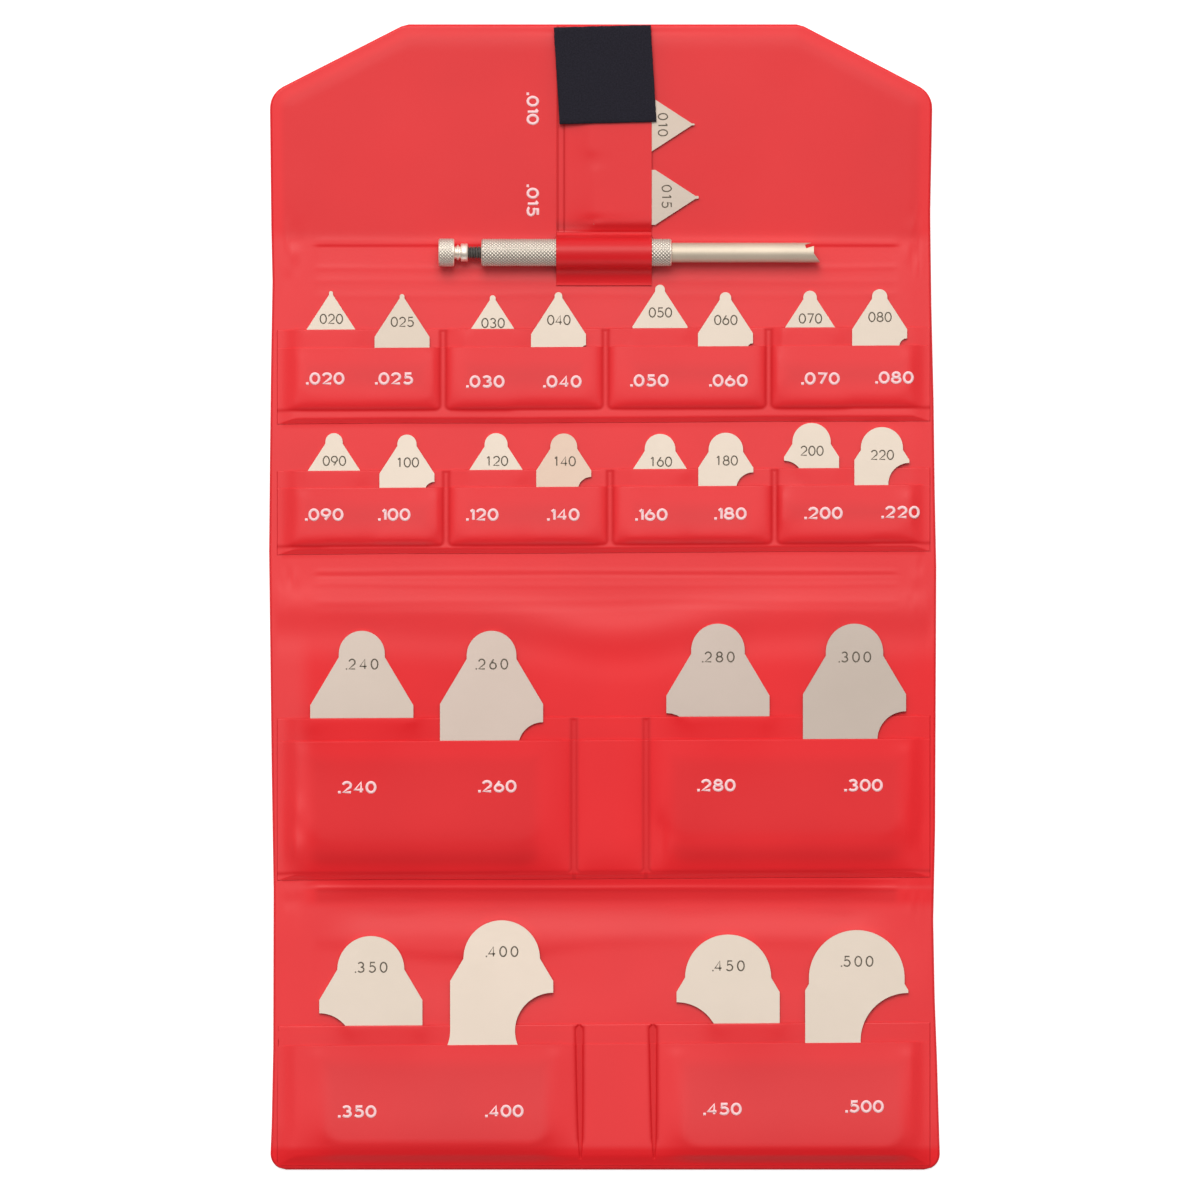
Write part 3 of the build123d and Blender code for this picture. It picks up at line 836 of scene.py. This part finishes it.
def foot_shade(x, y):
    """Painted shade at the foot of row 3's plates, and of row 4's."""
    level = y - ROW_3_FOOT
    distance = np.where(level > 0, 0.6, 1.0) * level
    drop = ease(y, -75.0, 1.5) * bump(distance, 2.6) * (0.15 + 0.85 * sampled(puffed, x, y + 7.0))
    return FOOT_SHADE_DARK * (drop + 0.4 * ease(y, ROW_4_FOOT, -2.0))


def liner_dark(x, y):
    """The flap's darker inside, painted shade in the hollow below the fold under row 3, and the painted
    shadow under the hems.
    """
    flap = ease(y, FLAP_FOOT, 3.0) * smooth((edge_distance(x, y) - 2.0) / 2.5)
    hollow = FOLD_SHADE_DARK * ease(y, -77.6, -0.5) * ease(y, -82.2, 1.8) + 0.07 * bump(y + 78.2, 0.5)
    return FLAP_DARK * flap + fold_fade(x) * hollow + HEM_SHADOW_DARK * hem_shadow(x, y)


for piece in (cover, liner):
    marked(piece, liner_dark, lambda x, y: np.maximum(panel_matt(x, y), 0.5 * hem_shadow(x, y)))

for row in ROWS:
    for layer, field, over, thinnest in (("back", BACK_TOP, 0.05, 0.02), ("front", FRONT_TOP, 0.09, 0.06)):
        x, y = film_grid(row, f"{layer}_mouth")
        top = sampled(field, x, y) + film_relief(row, x, y)
        top = np.maximum(tapered(row, x, y, top, over), liner_top(x, y) + thinnest)
        points, faces = skirted(x, y, top, [(0.06, 0.06), (0.08, 0.16), (0.04, 0.32), (0.9, 0.36)])
        name = f"{row['name']}_{layer}"
        film = mesh_piece(f"{name}_film", points, faces, VINYL, "red_vinyl", f"{name}_pocket")
        front = float(layer == "front")
        # The films' darkness: painted shade at the welds, a painted shadow under the hems, and on the front
        # films a darker tone over the plates and painted shade at the plates' feet.
        marked(film, lambda x, y: WELD_SHADE_DARK * weld_shade(row, x, y) + HEM_SHADOW_DARK * hem_shadow(x, y)
               + front * (PLATE_DARK * sampled(puffed, x, y) + foot_shade(x, y)),
               lambda x, y: np.maximum(panel_matt(x, y), 0.9 * weld_shade(row, x, y)))


# Strap: welded film, side pocket, and the loop round the holder

holder_low, holder_high = low("holder_body"), high("holder_body")
AXIS_Y = (holder_low[1] + holder_high[1]) / 2
AXIS_Z = (holder_low[2] + holder_high[2]) / 2
BODY_RADIUS = radius_of("holder_body")
LOOP_RADIUS = BODY_RADIUS + 0.05 + FILM
LOOP_UPPER_FOOT = 96.4
LOOP_LOWER_FOOT = 83.5
LOOP_END = 186.0
STRAP_SIDE_WELD = strap_x[0] + 0.45


def loop_profile():
    """Upper face of the loop, from its upper foot over the holder to the strap's lower end."""
    foot_z = LINER_TOP + FILM
    reach, drop = LOOP_UPPER_FOOT - AXIS_Y, foot_z - AXIS_Z
    start = math.atan2(drop, reach) + math.acos(LOOP_RADIUS / math.hypot(reach, drop))
    path = [(LOOP_UPPER_FOOT + 0.8, foot_z), (LOOP_UPPER_FOOT, foot_z)]
    for angle in np.linspace(start, math.radians(LOOP_END), 41):
        path.append((AXIS_Y + LOOP_RADIUS * math.cos(angle), AXIS_Z + LOOP_RADIUS * math.sin(angle)))
    leave = np.array(path[-1])
    steep = np.array((leave[0] - 0.35, foot_z + 0.5))
    foot = np.array((LOOP_LOWER_FOOT, foot_z))
    for t in np.linspace(0.08, 1.0, 24):
        path.append(leave * (1 - t) ** 2 + 2 * steep * t * (1 - t) + foot * t * t)
    path = np.array([*path, (low("holder_strap")[1], foot_z)])
    length = np.append(0, np.cumsum(np.linalg.norm(np.diff(path, axis=0), axis=1)))
    even = np.linspace(0, length[-1], 150)
    return np.stack([np.interp(even, length, line) for line in path.T], -1)


# Painted shade along the strap's welds, 0 to 1; it also takes the sheen off there.
def strap_weld_shade(x, y):
    sides = np.maximum(bump(x - STRAP_SEAM_X, 0.3), bump(x - STRAP_SIDE_WELD, 0.3))
    return np.maximum(sides * (y > STRAP_WELD_Y), 0.5 * bump(y - STRAP_WELD_Y, 0.4))


def strap_dark(x, y):
    """Painted shade on the strap: along its welds, above the loop, and over the loop itself; its flat part
    takes the flap's darker tone.
    """
    loop = ease(y, 88.5, 3.0) * ease(y, STRAP_WELD_Y, -1.5)
    return (WELD_SHADE_DARK * strap_weld_shade(x, y) + 0.2 * bump(y - 98.6, 1.5) + LOOP_SHADE_DARK * loop
            + FLAP_DARK * ease(y, 96.0, 2.0))


def strap_piece():
    left, right = strap_x
    xs = graded(left, right, 0.7, [(left + 0.4, 0.5, 0.15), (STRAP_SEAM_X, 0.8, 0.15), (right, 0.5, 0.2)])
    spots = [(STRAP_WELD_Y, 1.0, 0.15), (STRAP_TOP_WELD, 0.8, 0.2)]
    ys = graded(LOOP_UPPER_FOOT + 0.9, strap_top_y, 0.7, spots)
    x, y = np.meshgrid(xs, ys[::-1])
    z = sampled(BACK_TOP, x, y)
    z -= 0.05 * bump(x - STRAP_SEAM_X, 0.4) + 0.04 * bump(x - STRAP_SIDE_WELD, 0.3)
    z -= 0.05 * bump(y - STRAP_WELD_Y, 0.4) + 0.05 * bump(y - STRAP_TOP_WELD, 0.4)
    z -= 0.10 * bump(x, 9.0) * ease(y, 102.5, -3.2) * ease(y, 97.2, 1.5)
    z -= 0.16 * bump(x + 2.7, 2.2) * bump(y - 100.4, 1.0)
    loop = loop_profile()
    loop_x, loop_y = np.meshgrid(xs, loop[:, 0])
    loop_z = np.repeat(loop[:, 1:], len(xs), 1)
    upper = np.concatenate([np.stack([x, y, z], -1), np.stack([loop_x, loop_y, loop_z], -1)])
    normal = np.cross(np.gradient(upper, axis=1), np.gradient(upper, axis=0))
    normal /= np.linalg.norm(normal, axis=2, keepdims=True)
    normal *= np.sign(normal[:1, :1, 2:3])
    points, faces = closed_sheet(upper, upper - normal * (FILM - 0.02), flip=True)
    strap = mesh_piece("strap_film", points, faces, VINYL, "red_vinyl", "holder_strap")
    marked(strap, strap_dark,
           lambda x, y: np.maximum(0.6 - 0.25 * ease(y, 96.0, 2.0), 0.9 * strap_weld_shade(x, y)))


strap_piece()


# Hook-and-loop patches

def patch_piece(name, replaced, side, turns, seed, face_up):
    """A cut square of pile; turns are the angles of its two edges, for it isn't cut quite square."""
    lowest, highest = low(replaced), high(replaced)
    centre = [(a + b) / 2 for a, b in zip(lowest, highest)]
    u, v = np.meshgrid(*[np.linspace(-1, 1, 74)] * 2)
    x, y = u * side / 2, v * side / 2
    ragged = 0.05 * smooth((np.maximum(np.abs(u), np.abs(v)) - 0.9) / 0.1)
    x += ragged * soft_noise(v * 40, u * 3, 2.2, seed)
    y += ragged * soft_noise(u * 40, v * 3, 2.2, seed + 1)
    rim = np.minimum(1 - np.abs(u), 1 - np.abs(v)) * side / 2
    top = highest[2] - lowest[2] - 0.25 * (1 - smooth(rim / 0.7)) - 0.04
    top += 0.035 * soft_noise(x * 3, y * 3, 1.3, seed + 2) + 0.02 * soft_noise(x, y, 6.0, seed + 3)
    along, up = [math.radians(turn) for turn in turns]
    across_x = centre[0] + math.cos(along) * x - math.sin(up) * y
    across_y = centre[1] + math.sin(along) * x + math.cos(up) * y
    base, sign = (lowest[2], 1) if face_up else (highest[2], -1)
    upper = np.stack([across_x, across_y, base + sign * top], -1)
    lower = np.stack([across_x, across_y, np.full(x.shape, base + sign * 0.02)], -1)
    points, faces = closed_sheet(upper, lower, flip=not face_up)
    pad = mesh_piece(name, points, faces, PILE, "hook_and_loop", replaced)


patch_side = high("back_patch")[0] - low("back_patch")[0]
patch_piece("flap_pile", "flap_patch", patch_side, (1.45, 3.5), 71, True)
patch_piece("back_hooks", "back_patch", patch_side - 0.1, (0.0, 0.0), 81, False)


# Digits, drawn as strokes in a box one high

def arc(cx, cy, rx, ry, start, end, steps=18):
    angles = np.radians(np.linspace(start, end, steps))
    return [(cx + rx * math.cos(a), cy + ry * math.sin(a)) for a in angles]


STROKES = {
    "0": [arc(0.5, 0.5, 0.5, 0.5, 90, 450, 33)],
    "1": [[(0.62, 0.0), (0.62, 1.0)], [(0.62, 1.0), (0.30, 0.80)]],
    "2": [arc(0.5, 0.68, 0.46, 0.32, 165, -35) + [(0.02, 0.0), (0.98, 0.0)]],
    "3": [arc(0.46, 0.75, 0.40, 0.25, 155, -90), arc(0.46, 0.26, 0.48, 0.26, 90, -150)],
    "4": [[(0.74, 0.0), (0.74, 1.0), (0.0, 0.26), (1.0, 0.26)]],
    "5": [[(0.90, 1.0), (0.24, 1.0), (0.14, 0.50)] + arc(0.46, 0.32, 0.50, 0.32, 125, -150)],
    "6": [arc(0.5, 0.32, 0.48, 0.32, 90, 450, 25), [(0.10, 0.48), (0.58, 1.0)]],
    "7": [[(0.02, 1.0), (0.98, 1.0), (0.36, 0.0)]],
    "8": [arc(0.5, 0.76, 0.38, 0.24, 90, 450, 25), arc(0.5, 0.27, 0.48, 0.27, 90, 450, 25)],
    "9": [arc(0.5, 0.68, 0.48, 0.32, 90, 450, 25), [(0.90, 0.52), (0.42, 0.0)]],
    ".": [[(0.0, 0.0), (1.0, 0.0)]],
}


def stroke_ribbon(path, width):
    """Left and right edge of a stroke along a path, mitred at its corners."""
    closed = np.allclose(path[0], path[-1])
    first, last = (path[-2], path[1]) if closed else (2 * path[0] - path[1], 2 * path[-1] - path[-2])
    along = np.diff(np.vstack([first, path, last]), axis=0)
    along /= np.linalg.norm(along, axis=1, keepdims=True)
    normals = np.stack([-along[:, 1], along[:, 0]], -1)
    mitre = normals[:-1] + normals[1:]
    mitre /= np.maximum((mitre * normals[:-1]).sum(1, keepdims=True), 0.7)
    return path + mitre * width / 2, path - mitre * width / 2


def number_mesh(words, style, surface, lift, one=1.0):
    """Points and faces of written numbers: words are (text, x, y of the first digit's corner, turned).

    one is how much of a digit's room a 1 takes."""
    points, faces = [], []
    (width, height), pitch, stroke = style["digit"], style["pitch"], style["stroke"]
    for text, x0, y0, turned in words:
        along, stroke_count = 0.0, 0
        for mark in text:
            here, size, inset = along, (width - stroke, height - stroke), stroke / 2
            if mark == ".":
                here, size, inset = along - 0.9 * stroke - 0.25, (stroke, 0.0), 0.0
            if mark == "1":
                here -= 0.46 * (1 - one) * width
            for path in STROKES[mark]:
                fitted = np.array(path) * size + (here + inset, stroke / 2)
                if len(fitted) == 2:
                    fitted = np.array([fitted[0], fitted.mean(0), fitted[1]])
                left, right = stroke_ribbon(fitted, stroke)
                count = len(left)
                flat = np.vstack([left, right])
                if turned:
                    flat = np.stack([flat[:, 1], -flat[:, 0]], -1)
                flat += [x0, y0]
                stroke_count += 1
                z = surface(flat[:, 0], flat[:, 1]) + lift * (1 + 0.12 * (stroke_count % 4))
                start = sum(len(p) for p in points)
                top = np.column_stack([flat, z])
                points += [top, top - [0, 0, 1.6 * lift]]
                lower = 2 * count
                for a in range(start, start + count - 1):
                    b, c, d = a + 1, a + count + 1, a + count
                    faces += [[b, a, d, c], [a, b, b + lower, a + lower], [c, d, d + lower, c + lower]]
            if mark != ".":
                along += pitch * (one if mark == "1" else 1.0)
    return np.vstack(points), faces


def px(x, y):
    """A place in the photograph, in millimetres; its own pixels are 1200 across."""
    return (x - 604) / 3.76, (597 - y) / 3.76


# Printed numbers: left end of the dot and the baseline, as pixels of the photograph
PRINTED = {
    "row_1": [("020", 305, 385), ("025", 374, 385), ("030", 465, 388), ("040", 542, 388),
              ("050", 629, 387), ("060", 708, 387), ("070", 800, 385), ("080", 874, 384)],
    "row_2": [("090", 304, 521), ("100", 377, 521), ("120", 465, 521), ("140", 546, 521),
              ("160", 634, 521), ("180", 713, 520), ("200", 803, 519.5), ("220", 880, 518.5)],
    "row_3": [("240", 337, 793.5), ("260", 477, 792.5), ("280", 696, 791.5), ("300", 843, 791.5)],
    "row_4": [("350", 337, 1117.5), ("400", 484, 1117), ("450", 702, 1115), ("500", 844, 1112.5)],
}
TURNED = [("010", 526.5, 92), ("015", 526.5, 184)]
PRINT = dict(digit=(2.95, 3.35), pitch=3.2, stroke=0.70)
PRINT_ONE = 0.5
PRINT_LIFT = 0.03


def print_numbers(name, words, surface):
    points, faces = number_mesh(words, PRINT, surface, PRINT_LIFT, PRINT_ONE)
    mesh_piece(name, points, faces, INK, "red_vinyl")


for row in ROWS:
    places = [(text, *px(left, base)) for text, left, base in PRINTED[row["name"]]]
    words = [("." + text, x0 + PRINT["stroke"] + 0.5, y0, False) for text, x0, y0 in places]
    print_numbers(f"{row['name']}_numbers", words, lambda x, y: sampled(FRONT_TOP, x, y))
places = [(text, *px(left, top)) for text, left, top in TURNED]
print_numbers("flap_numbers", [("." + text, x0, y0 - 1.0, True) for text, x0, y0 in places], liner_top)


# Blades: each one's tone, and its etched number

TONES = {"010": (0.50, 0.485, 0.485), "015": (0.49, 0.48, 0.485), "025": (0.61, 0.605, 0.60),
         "140": (0.70, 0.62, 0.59), "240": (0.65, 0.635, 0.65), "260": (0.65, 0.62, 0.64),
         "280": (0.60, 0.58, 0.60), "300": (0.555, 0.545, 0.56), "400": (0.90, 0.89, 0.89)}
ROW_TONES = {"row_1": 0.66, "row_2": 0.73, "row_3": 0.62, "row_4": 0.85}
# drop is how far the digits' foot lies below a blade's upper end, and shift moves them to the right
SMALL_MARK = dict(digit=(1.95, 2.75), pitch=2.15, stroke=0.34, drop=8.75, shift=0.1, dot="")
LARGE_MARK = dict(digit=(2.1, 2.95), pitch=3.0, stroke=0.38, drop=10.3, shift=0.4, dot=".")
ROW_4_MARK = dict(LARGE_MARK, drop=9.75)
TURNED_MARKS = {"010": (14.3, 128.7), "015": (15.3, 109.6)}
MARK_LIFT = 0.012


def tone(name):
    """How bright a blade looks: its own tone, or its row's."""
    levels = [ROW_TONES[row["name"]] for row in ROWS if in_row(name, row)]
    return (*TONES.get(name[-3:], levels * 3), 1)


def blade_mark(name):
    number = name[-3:]
    upper_end, level = high(name)[1:]
    if number in TURNED_MARKS:
        style = SMALL_MARK
        word = (number, *TURNED_MARKS[number], True)
    else:
        radius = int(number)
        style = ROW_4_MARK if radius >= 350 else LARGE_MARK if radius >= 240 else SMALL_MARK
        width = 2 * style["pitch"] + style["digit"][0]
        points = points_of(frame["nodes"][name].data)
        tip_x = points[points[:, 1] > points[:, 1].max() - 0.02, 0].mean()
        word = (style["dot"] + number, tip_x - width / 2 + style["shift"], upper_end - style["drop"], False)
    points, faces = number_mesh([word], style, lambda x, y: np.full(x.shape, level), MARK_LIFT)
    mesh_piece(f"{name}_mark", points, faces, ETCH, "blade_steel")


def repainted(name, material):
    """Gives a node of the frame this material in its only slot."""
    part = frame["nodes"][name]
    part.data.materials.clear()
    part.data.materials.append(material)
    return part


for name in GAUGES:
    repainted(name, BLADE_STEEL).color = tone(name)
    blade_mark(name)


# Holder

def turned(name, profile, cut, steps, body, material, replaced, slot, closed_ends=True):
    """A turned piece along the holder's axis, with a ring for each (place, radius) of its profile.

    Where a ring's radius is None, cut(place, angles) gives it, and its hollows get painted shade."""
    angles = np.linspace(0, 2 * math.pi, steps, endpoint=False)
    is_cut = np.array([[radius is None] for place, radius in profile])
    radii = np.array([cut(place, angles) if radius is None else [radius] * steps
                      for place, radius in profile])
    x = np.repeat([[place] for place, radius in profile], steps, 1)
    y, z = AXIS_Y + radii * np.cos(angles), AXIS_Z + radii * np.sin(angles)
    points = np.stack([x, y, z], -1).reshape(-1, 3)
    faces = grid_faces(len(profile), steps, ring=True)
    if closed_ends:
        faces.append(list(range(steps))[::-1])
        faces.append([len(points) - steps + k for k in range(steps)])
    piece = mesh_piece(name, points, faces, material, slot, replaced, body)
    crest, root = radii[is_cut[:, 0]].max(), radii[is_cut[:, 0]].min()
    # Painted shade in the cut hollows, darker the deeper they are
    groove_shade = 0.6 * ((crest - radii) / (crest - root)) ** 2 * is_cut
    store(piece, "groove_shade", groove_shade.reshape(-1))


def knurl(starts, radius, depth):
    """The radius of a diamond knurl, two sets of crossing V grooves, as a function."""
    pitch = 2 * math.pi * radius / starts

    def cut(x, angles):
        turns = angles / (2 * math.pi) * starts
        first = np.abs(((x / pitch + turns) % 1) - 0.5) * 2
        second = np.abs(((x / pitch - turns) % 1) - 0.5) * 2
        return radius - depth * (1 - np.minimum(1, 1.2 * np.minimum(first, second)))

    return cut


def knurled_rings(start, end, starts, radius):
    """Rings from start to end, six to each diamond."""
    return [(place, None) for place in np.arange(start, end, 2 * math.pi * radius / starts / 6)]


BODY_STARTS = 24
CHAMFER = 0.35
SCREW_BORE = 1.8
TUBE_BORE = 2.6
BORE_DEPTH = 3.0
left, right = holder_low[0], holder_high[0]
profile = [(left + BORE_DEPTH, SCREW_BORE), (left, SCREW_BORE), (left, BODY_RADIUS - CHAMFER),
           *knurled_rings(left + CHAMFER, right - CHAMFER, BODY_STARTS, BODY_RADIUS),
           (right - CHAMFER, BODY_RADIUS - 0.1), (right, BODY_RADIUS - CHAMFER), (right, TUBE_BORE),
           (right - BORE_DEPTH, TUBE_BORE)]
turned("knurled_body", profile, knurl(BODY_STARTS, BODY_RADIUS, 0.3), BODY_STARTS * 6, "case", KNURL_STEEL,
       "holder_body", "holder_steel", closed_ends=False)

KNOB_STARTS = 28
KNOB_RADIUS = radius_of("clamp_knob")
NECK_RADIUS = 1.55
COLLAR_RADIUS = 2.4
left = low("clamp_knob")[0]
right = left + 4.2
neck_end = right + 1.7
collar_end = neck_end + 1.9
profile = [(left, 0.02), (left, 2.9), (left + 0.12, 3.1), (left, KNOB_RADIUS - 0.35),
           (left + 0.25, KNOB_RADIUS - 0.05),
           *knurled_rings(left + 0.3, right - 0.3, KNOB_STARTS, KNOB_RADIUS),
           (right - 0.2, KNOB_RADIUS - 0.05), (right, KNOB_RADIUS - 0.3), (right, NECK_RADIUS + 0.3),
           (right + 0.45, NECK_RADIUS), (right + 0.8, NECK_RADIUS + 0.5), (right + 1.1, NECK_RADIUS + 0.5),
           (neck_end - 0.2, NECK_RADIUS), (neck_end, NECK_RADIUS + 0.2), (neck_end, COLLAR_RADIUS - 0.15),
           (neck_end + 0.15, COLLAR_RADIUS), (collar_end - 0.2, COLLAR_RADIUS),
           (collar_end, COLLAR_RADIUS - 0.2), (collar_end, 0.02)]
turned("knurled_knob", profile, knurl(KNOB_STARTS, KNOB_RADIUS, 0.26), KNOB_STARTS * 6, "thumb_screw",
       KNURL_STEEL, "clamp_knob", "holder_steel")

THREAD_PITCH = 0.7
THREAD_DEPTH = 0.42
SCREW_RADIUS = radius_of("clamp_screw")


def thread(x, angles):
    phase = (x / THREAD_PITCH - angles / (2 * math.pi)) % 1
    return SCREW_RADIUS - THREAD_DEPTH * np.clip(np.abs(phase - 0.5) * 2.5 - 0.12, 0, 1)


profile = [(place, None) for place in np.arange(collar_end, high("clamp_screw")[0], THREAD_PITCH / 8)]
turned("screw_thread", profile, thread, 48, "thumb_screw", BLACK_STEEL, "clamp_screw", "black_steel")

for name in ("holder_tube", "clamp_rod"):
    repainted(name, TURNED_STEEL)


# Floor, light and camera

WHITE = (1, 1, 1, 1)


def floor(half):
    mesh = bpy.data.meshes.new("floor")
    corners = [(-half, -half, 0), (half, -half, 0), (half, half, 0), (-half, half, 0)]
    mesh.from_pydata(corners, [], [(0, 1, 2, 3)])
    paper, tree, shader = material("white_table")
    path = node(tree, "ShaderNodeLightPath").outputs
    seen = maths(tree, "MAXIMUM", path["Is Camera Ray"], path["Is Glossy Ray"])
    filled(tree, shader, Base_Color=(0.62, 0.62, 0.62, 1), Roughness=0.9, Specular_IOR_Level=0.1,
           Emission_Color=WHITE, Emission_Strength=maths(tree, "MULTIPLY", seen, 0.65))
    mesh.materials.append(paper)
    linked("floor", mesh)


def world():
    """A white studio: bright overhead and behind the flap, dim towards the wallet's foot."""
    made = bpy.data.worlds.new("studio")
    bpy.context.scene.world = made
    made.use_nodes = True
    tree = made.node_tree
    direction = node(tree, "ShaderNodeTexCoord").outputs["Generated"]
    x, y, z = node(tree, "ShaderNodeSeparateXYZ", Vector=direction).outputs

    def zone(value, start, end):
        """0 before start and 1 beyond end, with a soft step between."""
        made = node(tree, "ShaderNodeMapRange", interpolation_type="SMOOTHSTEP", Value=value, From_Min=start,
                    From_Max=end)
        return made.outputs["Result"]

    def times(a, b):
        return maths(tree, "MULTIPLY", a, b)

    lit_again = maths(tree, "SUBTRACT", 1.0, times(zone(y, -0.66, -0.92), 0.9))
    dim = times(times(zone(y, -0.08, -0.36), lit_again), times(zone(z, 0.30, 0.55), 0.88))
    overhead = zone(z, 0.78, 0.93)
    sideways = zone(maths(tree, "ABSOLUTE", x), 0.06, 0.36)
    level = 0.45
    for place, brightness in ((overhead, 0.26), (zone(y, 0.05, 0.35), 0.16), (zone(y, 0.5, 0.85), 0.35),
                              (times(sideways, overhead), 0.6), (zone(y, -0.80, -0.95), 0.8)):
        level = maths(tree, "ADD", level, times(place, brightness))
    strength = times(level, maths(tree, "SUBTRACT", 1.0, dim))
    seen = node(tree, "ShaderNodeLightPath").outputs["Is Camera Ray"]
    filled(tree, tree.nodes["Background"], Color=WHITE, Strength=maths(tree, "MAXIMUM", strength, seen))


def key_light(distance, elevation):
    data = bpy.data.lights.new("key", "AREA")
    data.shape = "DISK"
    data.size = 1.8
    data.energy = 59.0
    data.color = (1.0, 0.97, 0.93)
    made = linked("key", data)
    made.location = (-0.2, distance * math.cos(elevation), distance * math.sin(elevation))
    made.rotation_mode = "QUATERNION"
    made.rotation_quaternion = made.location.to_track_quat("Z", "Y")


def camera():
    data = bpy.data.cameras.new("camera")
    data.lens = LENS
    data.sensor_width = SENSOR
    data.clip_start, data.clip_end = 0.05, 10
    made = linked("camera", data)
    distance = VIEW_WIDTH * LENS / SENSOR
    made.location = (VIEW_CENTRE[0] * MM, VIEW_CENTRE[1] * MM, (VIEW_LEVEL + distance) * MM)
    bpy.context.scene.camera = made


floor(4.0)
world()
key_light(3.0, math.radians(60))
camera()
bpy.context.scene.view_settings.view_transform = "Standard"
